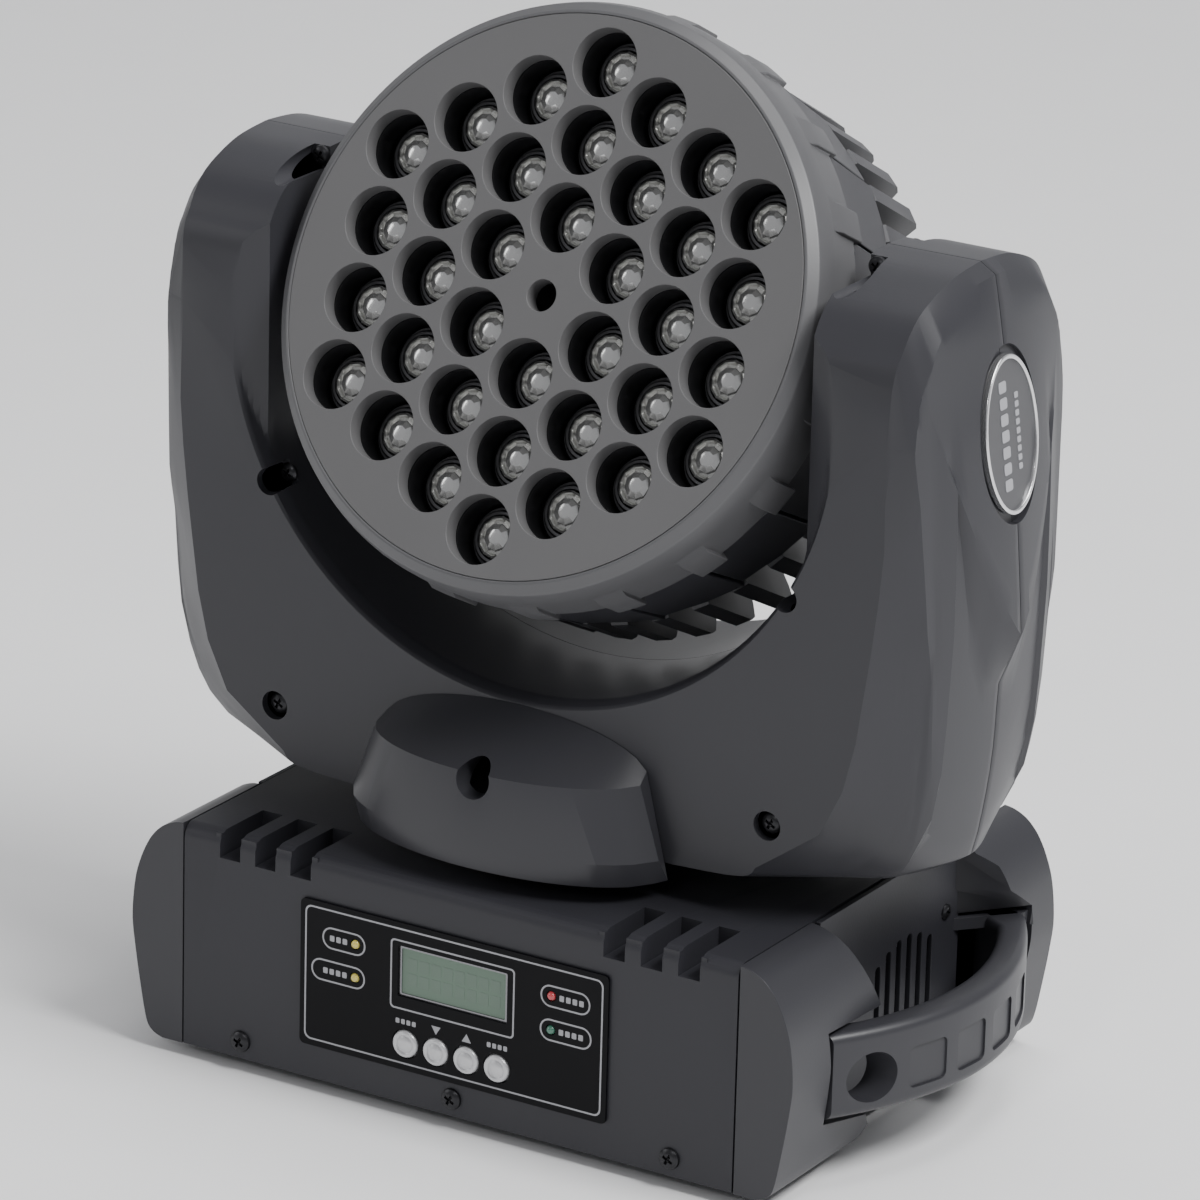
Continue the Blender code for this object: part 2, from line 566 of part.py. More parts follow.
def side_outline(y):
    """Outer side of a yoke section as (x, z) points, from the top of the arm down to the flat underside."""
    crest = along(YOKE_CREST, y)
    edge = along(YOKE_EDGE, y)
    points = [(along(YOKE_ROWS, crest), crest)]
    zs = [edge, 0.5 * edge + 0.5 * 262.0, 261.9] if edge > 262.0 else [280.0 - 1.5 * (y + 54.0), 270.0, 261.9]
    zs[0] = min(zs[0], crest - 1.0)
    zs[1] = min(zs[1], zs[0] - 1.0)
    if edge <= 262.0 and crest < 272.0:
        zs = [crest - 1.5, crest - 3.0, 261.9]
    points += [(side_x(y, z), z) for z in zs + list(YOKE_SIDE_ZS[2:])]
    corner = points[-1][0]
    points += [(63.0 + share * (corner - 63.0), z) for share, z in ((0.85, 102.0), (0.4, 100.6), (0.0, 100.0))]
    return points


def yoke_ring(y, inset, wall=0.0):
    """One section of the yoke: round the outside from right to left, then back along the opening.

    inset goes from 0 at the opening's wide front edge to 1 at its throat; wall shrinks the section on all sides.
    """
    side = side_outline(y)
    if wall:
        top = side[0][1] - wall
        side = [(x, min(z, top - 0.4 * i)) for i, (x, z) in enumerate(grown_by_wall(side, wall))]
        side[0] = (side[0][0], top)
    outer = side + [(-x, z) for x, z in reversed(side)]
    steps = 20
    height = side[0][1] - TILT_Z
    edge = MOUTH_RADIUS + (THROAT_HALF_WIDTH - MOUTH_RADIUS) * inset + wall
    start = math.atan2(height, edge)
    inner = []
    for i in range(steps + 1):
        angle = math.pi - start + (math.pi + 2 * start) * i / steps
        throat = min(THROAT_RADIUS, THROAT_HALF_WIDTH / max(abs(math.cos(angle)), 0.01))
        radius = MOUTH_RADIUS + (throat - MOUTH_RADIUS) * inset + wall
        inner.append((radius * math.cos(angle), TILT_Z + radius * math.sin(angle)))
    return [(x, min(y + wall, 1.0), z) for x, z in outer + inner]


def grown_by_wall(points, wall):
    """Outline of (x, z) points moved inward by the wall's thickness."""
    moved = []
    for i, (x, z) in enumerate(points):
        before = Vector(points[max(i - 1, 0)])
        after = Vector(points[min(i + 1, len(points) - 1)])
        along = (after - before).normalized()
        moved.append((x + along.y * wall, z - along.x * wall))
    return moved


def build_yoke_shell(name, side, parent, material):
    """Half of the yoke's casing, open where the two halves meet; side is -1 at the front and 1 at the rear."""
    rings = [yoke_ring(y, inset) for y, inset in YOKE_LEVELS]
    rings.append(yoke_ring(-GAP / 2, 1.0))
    hollow = [yoke_ring(y, inset, YOKE_WALL) for y, inset in YOKE_LEVELS]
    hollow.append(yoke_ring(-GAP / 2, 1.0, YOKE_WALL))
    front = -YOKE_HALF_DEPTH
    x, z = YOKE_SCREW_XZ
    tools = [rod("Y", (sx * x, z), 5.0, front - 1, front + 1.6, 12) for sx in (-1, 1)]
    tools += [rod("Y", (sx * BOSS_SCREW_XZ[0], BOSS_SCREW_XZ[1]), 4.6, front - 1, front + 2.0, 12) for sx in (-1, 1)]
    drills = [rod("Y", (sx * x, z), 2.4, front - 1, front + 6.0, 6) for sx in (-1, 1)]
    shafts = [rod("X", (0.0, TILT_Z), SHAFT_HOLE_RADIUS, *sorted((sx * 100.0, sx * 116.0))) for sx in (-1, 1)]
    recess = circle((0.0, TILT_Z), BADGE_HALF_SIZE[0] + 0.4, 24, BADGE_HALF_SIZE[1] + 0.4)
    badges = [leaning(prism(recess, "X", *sorted((sx * (BADGE_X[0] - 0.4), sx * 170.0))), sx) for sx in (-1, 1)]
    spindle = rod("Z", (0.0, 0.0), SPINDLE_RADIUS + 1.0, 90.0, 115.0)
    shell = loft(rings)
    inside = loft(hollow)
    if side > 0:
        for mesh in (shell, inside, *tools, *drills):
            mirrored(mesh, "Y")
    shell = make_object(name, shell, material, parent, (0.0, 0.0, 100.0))
    cut(shell, inside)
    cut(shell, spindle, *shafts, *badges)
    cut(shell, *tools)
    cut(shell, *drills)


def build_yoke_frame(parent, material):
    frame = make_object("yoke_frame", prism(FRAME_OUTLINE, "Y", -30.0, 30.0), material, parent, (0.0, 0.0, 110.0))
    shaft_ways = [rod("X", (0.0, TILT_Z), SHAFT_RADIUS + 2, *sorted((sx * 120.0, sx * 126.0))) for sx in (-1, 1)]
    motor_way = rod("X", (0.0, TILT_MOTOR_Z), 6.0, 120.0, 126.0, 16)
    cable_way = rod("Z", (0.0, 0.0), 14.0, 105.0, 115.0)
    cut(frame, motor_way, cable_way, *shaft_ways)


def build_tilt_bearings(parent, material):
    for name, side in (("left", -1), ("right", 1)):
        inner = SHAFT_RADIUS + GAP
        profile = ((inner, side * 110.6), (17.0, side * 110.6), (17.0, side * 121.7), (inner, side * 121.7))
        bearing = turned(profile, "X", (0.0, TILT_Z), 24)
        make_object("tilt_bearing_" + name, bearing, material, parent, (side * 110.6, 0.0, TILT_Z))


def boss_points(inset):
    """Corners of the domed cover under the yoke: bottom rim, crease, and the edge that meets the yoke's face."""
    back = 54.0 + GAP
    points = []
    for i in range(13):
        share = i / 6 - 1
        sweep = math.sqrt(max(1 - (share * 0.98) ** 2, 0.0))
        points.append((share * (61.5 - inset), -(back + (32.0 - inset) * sweep), 94.0 + inset))
        points.append((share * (53.0 - inset), -(back + (28.5 - inset) * sweep), 128.0 - inset))
        points.append((share * (52.0 - inset), -back, 128.0 + 16.0 * sweep - inset))
    points += [(side * (61.5 - inset), -back, 94.0 + inset) for side in (-1, 1)]
    return points


def hull(points):
    mesh = bmesh.new()
    for point in points:
        mesh.verts.new(point)
    made = bmesh.ops.convex_hull(mesh, input=mesh.verts)
    loose = [item for item in made["geom_interior"] if isinstance(item, bmesh.types.BMVert)]
    bmesh.ops.delete(mesh, geom=loose, context="VERTS")
    bmesh.ops.recalc_face_normals(mesh, faces=mesh.faces)
    return mesh


def build_boss_cover(name, side, parent, material):
    cover = hull(boss_points(0.0))
    inside = hull([(x, y + 3.2, z) for x, y, z in boss_points(3.0)])
    hole = rod("Y", (1.0, 125.5), 6.5, -95.0, -60.0, 16)
    if side > 0:
        for mesh in (cover, inside, hole):
            mirrored(mesh, "Y")
    cover = make_object(name, cover, material, parent, (0.0, side * 54.3, 94.0))
    cut(cover, inside)
    cut(cover, hole)


def leaning(mesh, side):
    """Leans a mesh on the side of an arm inward towards its top."""
    for vertex in mesh.verts:
        vertex.co.x -= side * BADGE_SLOPE * (vertex.co.z - TILT_Z)
    return mesh


def build_badges(parent, material):
    outline = circle((0.0, TILT_Z), BADGE_HALF_SIZE[0], 24, BADGE_HALF_SIZE[1])
    for name, side in (("left", -1), ("right", 1)):
        plate = leaning(prism(outline, "X", *sorted((side * BADGE_X[0], side * BADGE_X[1]))), side)
        make_object("badge_" + name, plate, material, parent, (side * BADGE_X[0], 0.0, TILT_Z))


def build_yoke_screws(parent, material):
    x, z = YOKE_SCREW_XZ
    seat = -YOKE_HALF_DEPTH + 1.6 - GAP
    for name, side in (("left", -1), ("right", 1)):
        profile = ((0.0, seat - 1.5), (3.2, seat - 1.4), (4.2, seat), (2.0, seat), (2.0, seat + 12), (0.0, seat + 12))
        screw = turned(profile, "Y", (side * x, z), 12)
        make_object("yoke_screw_" + name, screw, material, parent, (side * x, seat, z))


# ---------------------------------------------------------------- head

def lens_centres():
    """Centres of the lenses: a hexagonal grid with upright columns and no lens in the middle."""
    centres = []
    for i in range(-RING_COUNT, RING_COUNT + 1):
        for j in range(-RING_COUNT, RING_COUNT + 1):
            if abs(i - j) <= RING_COUNT and (i, j) != (0, 0):
                column = LENS_PITCH * math.cos(math.radians(30))
                centres.append((column * i, LENS_PITCH * (j - i / 2)))
    return centres


def build_bezel(parent, material):
    front = -FACE_DEPTH
    inner = FACE_RADIUS + GAP
    profile = ((inner, front), (BEZEL_RADIUS - 0.4, front + 4.0), (BEZEL_RADIUS, front + 28.0),
               (inner + 1.5, front + 28.0), (inner + 1.5, front + 6.0), (inner, front + 6.0))
    make_object("front_bezel", turned(profile, "Y", segments=36), material, parent, (0.0, front, 0.0))


def build_face_plate(parent, material):
    front = -FACE_DEPTH
    plate = rod("Y", (0.0, 0.0), FACE_RADIUS, front, front + FACE_THICKNESS, 36)
    plate = make_object("face_plate", plate, material, parent, (0.0, front, 0.0))
    holes = [rod("Y", centre, LENS_HOLE_RADIUS, front - 1, front + FACE_THICKNESS + 1, 10)
             for centre in lens_centres()]
    holes.append(rod("Y", (0.0, 0.0), CENTRE_HOLE_RADIUS, front - 1, front + FACE_THICKNESS + 1, 10))
    cut(plate, *holes)


def build_lens_array(parent, material):
    """One clear moulding: a carrier plate with a lens standing behind each hole of the face plate."""
    front = -FACE_DEPTH + FACE_THICKNESS + GAP
    plate = rod("Y", (0.0, 0.0), 96.0, front, front + 3.0, 32)
    plate = make_object("lens_array", plate, material, parent, (0.0, front, 0.0))
    lenses = [rod("Y", centre, LENS_RADIUS, front - 9.0, front + 1.0, 6) for centre in lens_centres()]
    add(plate, *lenses)


def build_led_board(parent, material):
    front = -FACE_DEPTH + FACE_THICKNESS + 2 * GAP + 3.0
    board = rod("Y", (0.0, 0.0), 95.0, front, front + 2.0, 32)
    make_object("led_board", board, material, parent, (0.0, front, 0.0))


def spoked(count, hub, tip, half_width):
    """Outline of a hub with straight blades that stand out to the tip radius."""
    points = []
    for i in range(count):
        middle = 2 * math.pi * (i + 0.5) / count
        for radius, side in ((hub, -1), (tip, -1), (tip, 1), (hub, 1)):
            angle = middle + side * math.asin(half_width / radius)
            points.append((radius * math.cos(angle), radius * math.sin(angle)))
    return points


def build_head_housing(parent, material):
    """Ring of twenty flat panels behind the bezel."""
    profile = ((101.6, -21.7), (99.6, 8.0), (94.2, 8.0), (94.2, -21.7))
    make_object("head_housing", turned(profile, "Y", segments=FIN_COUNT), material, parent, (0.0, -21.7, 0.0))


def build_heat_sink(parent, material):
    """Cast block behind the lamp board, with fins that stand out behind the housing."""
    base = rod("Y", (0.0, 0.0), 90.0, -23.8, -10.0, 32)
    sink = make_object("heat_sink", base, material, parent, (0.0, -23.8, 0.0))
    sections = ((91.0, -12.0), (91.0, 8.6), (FIN_RADIUS, 10.0), (FIN_RADIUS, -FIN_REAR))
    add(sink, loft([[(x, y, z) for x, z in spoked(2 * FIN_COUNT, 48.0, tip, 2.2)] for tip, y in sections]))
    cut(sink, rod("Y", (0.0, 0.0), 40.0, -6.0, -FIN_REAR + 1, 24))


def build_rear_cover(parent, material):
    low = -FIN_REAR + GAP
    profile = ((2.2, 42.0), (2.2, 64.0), (66.0, 64.0), (66.0, low), (70.0, low), (70.0, 62.0), (62.0, 68.0),
               (0.0, 68.0), (0.0, 42.0))
    cover = make_object("rear_cover", turned(profile, "Y", segments=24), material, parent, (0.0, low, 0.0))
    slots = []
    for row in range(-2, 3):
        reach = math.sqrt(34.0 ** 2 - (row * 12.0) ** 2)
        for low_x, high_x in ((-reach, -5.0), (5.0, reach)):
            slots.append(box((low_x, 60.0, row * 12.0 - 3.0), (high_x, 70.0, row * 12.0 + 3.0)))
    cut(cover, *slots)


def build_fan(parent, material):
    rotor = make_object("fan_rotor", prism(spoked(7, 15.0, 37.5, 4.0), "Y", 44.0, 54.0), material, parent,
                        (0.0, 44.0, 0.0))
    cut(rotor, rod("Y", (0.0, 0.0), 2.6, 40.0, 60.0, 12))


def build_tilt_shafts(parent, steel, aluminium):
    for name, side, end in (("left", -1, 124.0), ("right", 1, 136.0)):
        profile = [(6.0, 101.9), (16.0, 101.9), (16.0, 104.8), (SHAFT_RADIUS, 104.8), (SHAFT_RADIUS, end), (6.0, end)]
        shaft = turned([(radius, side * height) for radius, height in profile], "X", segments=20)
        make_object("tilt_shaft_" + name, shaft, steel, parent, (side * 101.9, 0.0, 0.0))
    low, high = TILT_BELT_X
    inner = SHAFT_RADIUS + GAP
    profile = ((inner, low), (TILT_PULLEY_RADIUS, low), (TILT_PULLEY_RADIUS, high), (inner, high))
    make_object("tilt_pulley", turned(profile, "X"), aluminium, parent, (low, 0.0, 0.0))


# ---------------------------------------------------------------- assembly

def main():
    clear_scene()
    casing = make_material("casing", (0.075, 0.077, 0.085), 0.5)
    sheet = make_material("sheet", (0.07, 0.072, 0.08), 0.5)
    face = make_material("face", (0.16, 0.16, 0.165), 0.55)
    cast = make_material("cast", (0.13, 0.13, 0.14), 0.5, 0.6)
    black = make_material("black", (0.015, 0.015, 0.017), 0.3)
    glass = make_material("lens", (0.8, 0.82, 0.85), 0.05)
    display = make_material("display", (0.25, 0.31, 0.27), 0.25)
    silver = make_material("silver", (0.6, 0.6, 0.62), 0.35, 0.9)
    steel = make_material("steel", (0.5, 0.5, 0.52), 0.35, 1.0)
    aluminium = make_material("aluminium", (0.7, 0.7, 0.72), 0.35, 1.0)
    screw = make_material("screw", (0.03, 0.03, 0.032), 0.35, 0.8)
    rubber = make_material("rubber", (0.02, 0.02, 0.02), 0.8)
    board = make_material("board", (0.03, 0.12, 0.06), 0.5)

    pan_axis = bpy.data.objects.new("pan_axis", None)
    tilt_axis = bpy.data.objects.new("tilt_axis", None)
    for empty in (pan_axis, tilt_axis):
        bpy.context.scene.collection.objects.link(empty)
    tilt_axis.parent = pan_axis
    tilt_axis.location = (0.0, 0.0, TILT_Z * MM)
    tilt_axis.rotation_euler = (math.radians(-HEAD_TILT), 0.0, 0.0)
    bpy.context.view_layer.update()

    build_base_cover(sheet)
    build_base_tray(sheet)
    build_base_screws(screw)
    build_feet(rubber)
    for side_name, sx in (("left", -1), ("right", 1)):
        build_side_plate("side_plate_" + side_name, sx, sheet)
        build_handle("carry_handle_" + side_name, sx, casing)
        for front_name, sy in (("front", -1), ("rear", 1)):
            build_corner("corner_" + front_name + "_" + side_name, sx, sy, casing)
    build_panel_label(black)
    build_display(display)
    build_buttons(silver)
    build_control_board(board)
    build_power_supply(aluminium)
    build_rear_sockets(black, silver)

    build_pan_drive(pan_axis, steel, aluminium, rubber, black)
    build_yoke_shell("yoke_front_shell", -1, pan_axis, casing)
    build_yoke_shell("yoke_rear_shell", 1, pan_axis, casing)
    build_yoke_frame(pan_axis, steel)
    build_boss_cover("boss_cover_front", -1, pan_axis, casing)
    build_boss_cover("boss_cover_rear", 1, pan_axis, casing)
    build_badges(pan_axis, silver)
    build_yoke_screws(pan_axis, screw)
    build_tilt_bearings(pan_axis, steel)
    build_tilt_drive(pan_axis, aluminium, rubber, black)

    build_bezel(tilt_axis, casing)
    build_face_plate(tilt_axis, face)
    build_lens_array(tilt_axis, glass)
    build_led_board(tilt_axis, board)
    build_head_housing(tilt_axis, casing)
    build_heat_sink(tilt_axis, cast)
    build_rear_cover(tilt_axis, casing)
    build_fan(tilt_axis, black)
    build_tilt_shafts(tilt_axis, steel, aluminium)


main()
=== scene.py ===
"""Looks of the moving head light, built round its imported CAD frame.

Shapes are drawn in millimetres and scaled to metres once, in piece(). The base and the yoke are drawn in
place. The head is drawn round the tilt axis with its face towards -Y, and HEAD_MATRIX tilts it into place.
"""
from math import atan2, cos, pi, radians, sin, sqrt

import bmesh
import bpy
from mathutils import Matrix, Vector


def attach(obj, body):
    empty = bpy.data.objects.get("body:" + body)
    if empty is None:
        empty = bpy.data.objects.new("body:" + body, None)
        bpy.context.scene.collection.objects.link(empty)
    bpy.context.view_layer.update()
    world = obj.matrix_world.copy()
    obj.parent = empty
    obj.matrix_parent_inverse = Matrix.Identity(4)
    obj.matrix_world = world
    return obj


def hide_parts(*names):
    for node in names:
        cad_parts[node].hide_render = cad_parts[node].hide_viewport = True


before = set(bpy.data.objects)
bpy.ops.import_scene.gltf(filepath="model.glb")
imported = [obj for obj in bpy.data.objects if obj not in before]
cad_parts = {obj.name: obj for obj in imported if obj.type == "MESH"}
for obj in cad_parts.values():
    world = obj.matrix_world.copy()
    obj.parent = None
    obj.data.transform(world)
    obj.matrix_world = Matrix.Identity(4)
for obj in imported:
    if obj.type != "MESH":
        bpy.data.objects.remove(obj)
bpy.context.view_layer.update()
scene = bpy.context.scene

MM = 0.001
TILT_Z = 263.7
BADGE_Z = 256
SIDES = (("left", -1), ("right", 1))
HEAD_TILT = 26.9
HEAD_MATRIX = (Matrix.Translation((0, 0, TILT_Z))
               @ Matrix.Rotation(radians(-HEAD_TILT), 4, "X"))

# Base
BASE_BACK = 90.5             # half depth
BASE_TOP = 87
BASE_BOTTOM = 5
BASE_HALF_WIDTH = 111.2
SHEET_THICKNESS = 1.5
BASE_SCREW_XS = {"left": -87, "middle": 0, "right": 87}
BASE_SCREW_Z = 11.5
SLOT_MIDDLE = 77.6           # the middle slot of each group of three
SLOT_XS = (63, SLOT_MIDDLE, 92.2)
SLOT_HALF_WIDTH = 4.2
SLOT_LENGTH = 26
SLOT_BOTTOM = 77.7
HUB_HOLE_RADIUS = 42.5

# Front panel
PANEL_FRONT = -91.6
PANEL_BACK = -90.8
PRINT_DEPTHS = (PANEL_FRONT - 0.08, PANEL_FRONT + 0.05)
BUTTON_XS = {"menu": -18.45, "down": -6.15, "up": 6.15, "enter": 18.45}
BUTTON_Z = 27.6
LAMP_X = 39.5
LAMP_ZS = (59.2, 46.9)
DISPLAY_Z = 53.9

# Back panel
INLET_X = -75
INLET_Z = 32
FUSE_XZ = (-35, 32)
DATA_XS = {"data_in": 25, "data_out": 65}
DATA_Z = 34

# Sides of the base
PLATE_X = (112, 114)
HANDLE_MIDDLE_Y = 4.3
HANDLE_HALF_LENGTH = 66.7
HANDLE_END_X = 132.5
HANDLE_BULGE = 22
HANDLE_Z = 41.6
HANDLE_GRIP_Z = 39.6         # height of the hole and the square pads
HANDLE_HOLE_Y = -49
HANDLE_PAD_YS = (-27, -5, 17, 39)
HORN_INNER_Y = 51          # inner end of the slanted hand space in the rear corners
HORN_REACH = ((52, 94), (68, 74), (83, 56), (95, 52))   # height, depth of its outer end

# Yoke
YOKE_FRONT = -54
YOKE_WALL = 3.2
TIP_SCREW_XZ = (110, 308.5)

# Head
FACE_FRONT = -50
LENS_PITCH = 27
LENS_BACK = -30
PANEL_COUNT = 20
PANEL_TURN = 360 / PANEL_COUNT


# ---- mesh helpers

def loft(rings, closed=False):
    """Closed solid through rings of equally many points; the last ring joins the first if closed."""
    mesh = bmesh.new()
    loops = [[mesh.verts.new(point) for point in ring] for ring in rings]
    count = len(loops[0])
    pairs = list(zip(loops, loops[1:]))
    if closed:
        pairs.append((loops[-1], loops[0]))
    for lower, upper in pairs:
        for i in range(count):
            mesh.faces.new((lower[i], lower[(i + 1) % count], upper[(i + 1) % count], upper[i]))
    if not closed:
        mesh.faces.new(loops[0])
        mesh.faces.new(loops[-1])
    bmesh.ops.recalc_face_normals(mesh, faces=mesh.faces)
    return mesh


def lifted(point, axis, height):
    values = list(point)
    values.insert("XYZ".index(axis), height)
    return values


def prism(outline, axis, low, high):
    return loft([[lifted(point, axis, height) for point in outline] for height in (low, high)])


def box(low, high):
    outline = ((low[0], low[1]), (high[0], low[1]), (high[0], high[1]), (low[0], high[1]))
    return prism(outline, "Z", low[2], high[2])


def circle(centre, radius, segments=48, radius_v=None):
    radius_v = radius_v or radius
    turn = 2 * pi / segments
    return [(centre[0] + radius * cos(i * turn), centre[1] + radius_v * sin(i * turn))
            for i in range(segments)]


def rod(axis, centre, radius, low, high, segments=48):
    return prism(circle(centre, radius, segments), axis, low, high)


def turned(profile, axis, centre=(0, 0), segments=64):
    """Closed profile of (radius, height) points turned about a line along X, Y or Z through centre."""
    mesh = bmesh.new()
    rings = []
    for radius, height in profile:
        ring = []
        for point in circle(centre, radius, segments) if radius > 0 else [centre]:
            ring.append(mesh.verts.new(lifted(point, axis, height)))
        rings.append(ring)
    for lower, upper in zip(rings, rings[1:] + rings[:1]):
        for i in range(segments):
            quad = (lower[i % len(lower)], lower[(i + 1) % len(lower)],
                    upper[(i + 1) % len(upper)], upper[i % len(upper)])
            corners = list(dict.fromkeys(quad))
            if len(corners) > 2:
                mesh.faces.new(corners)
    bmesh.ops.recalc_face_normals(mesh, faces=mesh.faces)
    return mesh


def rounded_box(centre, half_u, half_v, radius, steps=5):
    points = []
    for corner, (su, sv) in enumerate(((1, 1), (-1, 1), (-1, -1), (1, -1))):
        for i in range(steps + 1):
            angle = radians(90 * corner + 90 * i / steps)
            points.append((centre[0] + su * (half_u - radius) + radius * cos(angle),
                           centre[1] + sv * (half_v - radius) + radius * sin(angle)))
    return points


def band(outer, inner, axis, low, high):
    """Flat ring between two outlines of equally many points."""
    rings = []
    for outline, height in ((outer, low), (outer, high), (inner, high), (inner, low)):
        rings.append([lifted(point, axis, height) for point in outline])
    return loft(rings, closed=True)


def joined(meshes):
    whole = bmesh.new()
    for mesh in meshes:
        part = bpy.data.meshes.new("part")
        mesh.to_mesh(part)
        mesh.free()
        whole.from_mesh(part)
        bpy.data.meshes.remove(part)
    return whole


def mirrored(mesh, axis):
    scale = [1, 1, 1]
    scale["XYZ".index(axis)] = -1
    bmesh.ops.scale(mesh, vec=scale, verts=mesh.verts)
    bmesh.ops.recalc_face_normals(mesh, faces=mesh.faces)
    return mesh


def moved(mesh, matrix):
    bmesh.ops.transform(mesh, matrix=matrix, verts=mesh.verts)
    return mesh


def combined(mesh, others, operation):
    """Mesh after a Boolean with the other meshes."""
    things = []
    for item in (mesh, joined(others)):
        data = bpy.data.meshes.new("shape")
        item.to_mesh(data)
        item.free()
        thing = bpy.data.objects.new("shape", data)
        scene.collection.objects.link(thing)
        things.append(thing)
    change = things[0].modifiers.new("combine", "BOOLEAN")
    change.operation = operation
    change.solver = "EXACT"
    change.object = things[1]
    view = bpy.context.evaluated_depsgraph_get()
    result = bpy.data.meshes.new_from_object(things[0].evaluated_get(view))
    made = bmesh.new()
    made.from_mesh(result)
    for thing in things:
        data = thing.data
        bpy.data.objects.remove(thing, do_unlink=True)
        bpy.data.meshes.remove(data)
    bpy.data.meshes.remove(result)
    return made


def cut(mesh, *tools):
    return combined(mesh, tools, "DIFFERENCE")


def add(mesh, *others):
    return combined(mesh, others, "UNION")


def piece(name, mesh, material, body, slot, stands_for=(), edge=0, head=False, angle=32, segments=2):
    """Object from a mesh, riding on a body; edge is the width of its rounded edges."""
    if head:
        moved(mesh, HEAD_MATRIX)
    bmesh.ops.scale(mesh, vec=(MM, MM, MM), verts=mesh.verts)
    data = bpy.data.meshes.new(name)
    mesh.to_mesh(data)
    mesh.free()
    data.materials.append(material)
    data.shade_smooth()
    data.set_sharp_from_angle(angle=radians(angle))
    made = bpy.data.objects.new(name, data)
    scene.collection.objects.link(made)
    if edge > 0:
        soften(made, edge, angle, segments)
    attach(made, body)
    if stands_for:
        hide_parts(*stands_for)
    return made


def skin(name, mesh, material, body, slot, **looks):
    """Piece that stands for the CAD node of its name."""
    piece(name + "_skin", mesh, material, body, slot, (name,), **looks)


def soften(item, edge, angle=32, segments=2):
    bevel = item.modifiers.new("round edges", "BEVEL")
    bevel.width = edge * MM
    bevel.segments = segments
    bevel.limit_method = "ANGLE"
    bevel.angle_limit = radians(angle)
    bevel.harden_normals = True


def smooth_line(points, steps=4):
    """Open line through the points with rounded turns between them."""
    result = []
    ends = [points[0]] + list(points) + [points[-1]]
    for a, b, c, d in zip(ends, ends[1:], ends[2:], ends[3:]):
        for i in range(steps):
            t = i / steps
            result.append(tuple(0.5 * (2 * q + (r - p) * t + (2 * p - 5 * q + 4 * r - s) * t * t
                                       + (3 * q - p - 3 * r + s) * t ** 3)
                                for p, q, r, s in zip(a, b, c, d)))
    result.append(tuple(points[-1]))
    return result


def along(table, at, column=1):
    """Value in a column of a table of rows sorted by their first number, between rows by straight line."""
    if at <= table[0][0]:
        return table[0][column]
    for low, high in zip(table, table[1:]):
        if at <= high[0]:
            share = (at - low[0]) / (high[0] - low[0])
            return low[column] + share * (high[column] - low[column])
    return table[-1][column]


# ---- materials

def fill(node, values):
    """Inputs of a shader node, by name."""
    for label, value in values.items():
        node.inputs[label].default_value = value


def surface(name, colour, roughness, metallic=0, grain=0, grain_scale=1500, tint=0.05, coat=0,
            sheen=0.5, spread=0.06):
    """Finish with fine procedural variation of colour, gloss and relief."""
    made = bpy.data.materials.new(name)
    made.use_nodes = True
    nodes, links = made.node_tree.nodes, made.node_tree.links
    shader = nodes["Principled BSDF"]
    fill(shader, {"Metallic": metallic, "Coat Weight": coat, "Coat Roughness": 0.15,
                  "Specular IOR Level": sheen})
    place = nodes.new("ShaderNodeTexCoord")
    coarse = nodes.new("ShaderNodeTexNoise")
    fill(coarse, {"Scale": 22, "Detail": 5})
    links.new(place.outputs["Object"], coarse.inputs["Vector"])
    ramp = nodes.new("ShaderNodeMix")
    ramp.data_type = "RGBA"
    fill(ramp, {"A": (*[c * (1 - tint) for c in colour], 1),
                "B": (*[min(c * (1 + tint), 1) for c in colour], 1)})
    links.new(coarse.outputs["Fac"], ramp.inputs["Factor"])
    links.new(ramp.outputs["Result"], shader.inputs["Base Color"])
    gloss = nodes.new("ShaderNodeMapRange")
    fill(gloss, {"To Min": max(roughness - spread, 0.02), "To Max": min(roughness + spread, 1)})
    links.new(coarse.outputs["Fac"], gloss.inputs["Value"])
    links.new(gloss.outputs["Result"], shader.inputs["Roughness"])
    if grain > 0:
        fine = nodes.new("ShaderNodeTexNoise")
        fill(fine, {"Scale": grain_scale, "Detail": 2})
        links.new(place.outputs["Object"], fine.inputs["Vector"])
        relief = nodes.new("ShaderNodeBump")
        fill(relief, {"Strength": grain, "Distance": 0.0002})
        links.new(fine.outputs["Fac"], relief.inputs["Height"])
        links.new(relief.outputs["Normal"], shader.inputs["Normal"])
    return made


CASING = surface("satin charcoal plastic", (0.030, 0.030, 0.035), 0.40, grain=0.10, sheen=0.42)
SHEET = surface("charcoal powder coat", (0.024, 0.024, 0.029), 0.45, grain=0.16, grain_scale=1100,
                sheen=0.36)
FACE = surface("grey face plastic", (0.105, 0.104, 0.106), 0.50, grain=0.08, sheen=0.4)
BEZEL = surface("grey bezel plastic", (0.085, 0.085, 0.089), 0.42, grain=0.08)
CAST = surface("grey painted casting", (0.040, 0.040, 0.045), 0.45, grain=0.14, grain_scale=900)
BLACK = surface("black gloss label", (0.002, 0.002, 0.003), 0.30, grain=0.02, sheen=0.12)
SOCKET = surface("black socket plastic", (0.010, 0.010, 0.011), 0.42, grain=0.1)
TUBE = surface("black tube lining", (0.007, 0.007, 0.008), 0.35, grain=0.05)
HOLDER = surface("dark lens holder", (0.22, 0.22, 0.23), 0.22, metallic=0.9)
REFLECTOR = surface("bright reflector", (0.86, 0.86, 0.84), 0.16, metallic=0.95)
LENS = surface("faceted lens", (0.93, 0.93, 0.91), 0.12, metallic=0.75, coat=0.8, spread=0.03)
CHIP = surface("lamp chip", (0.75, 0.68, 0.42), 0.4)
PRINT = surface("light grey print", (0.34, 0.34, 0.36), 0.55)
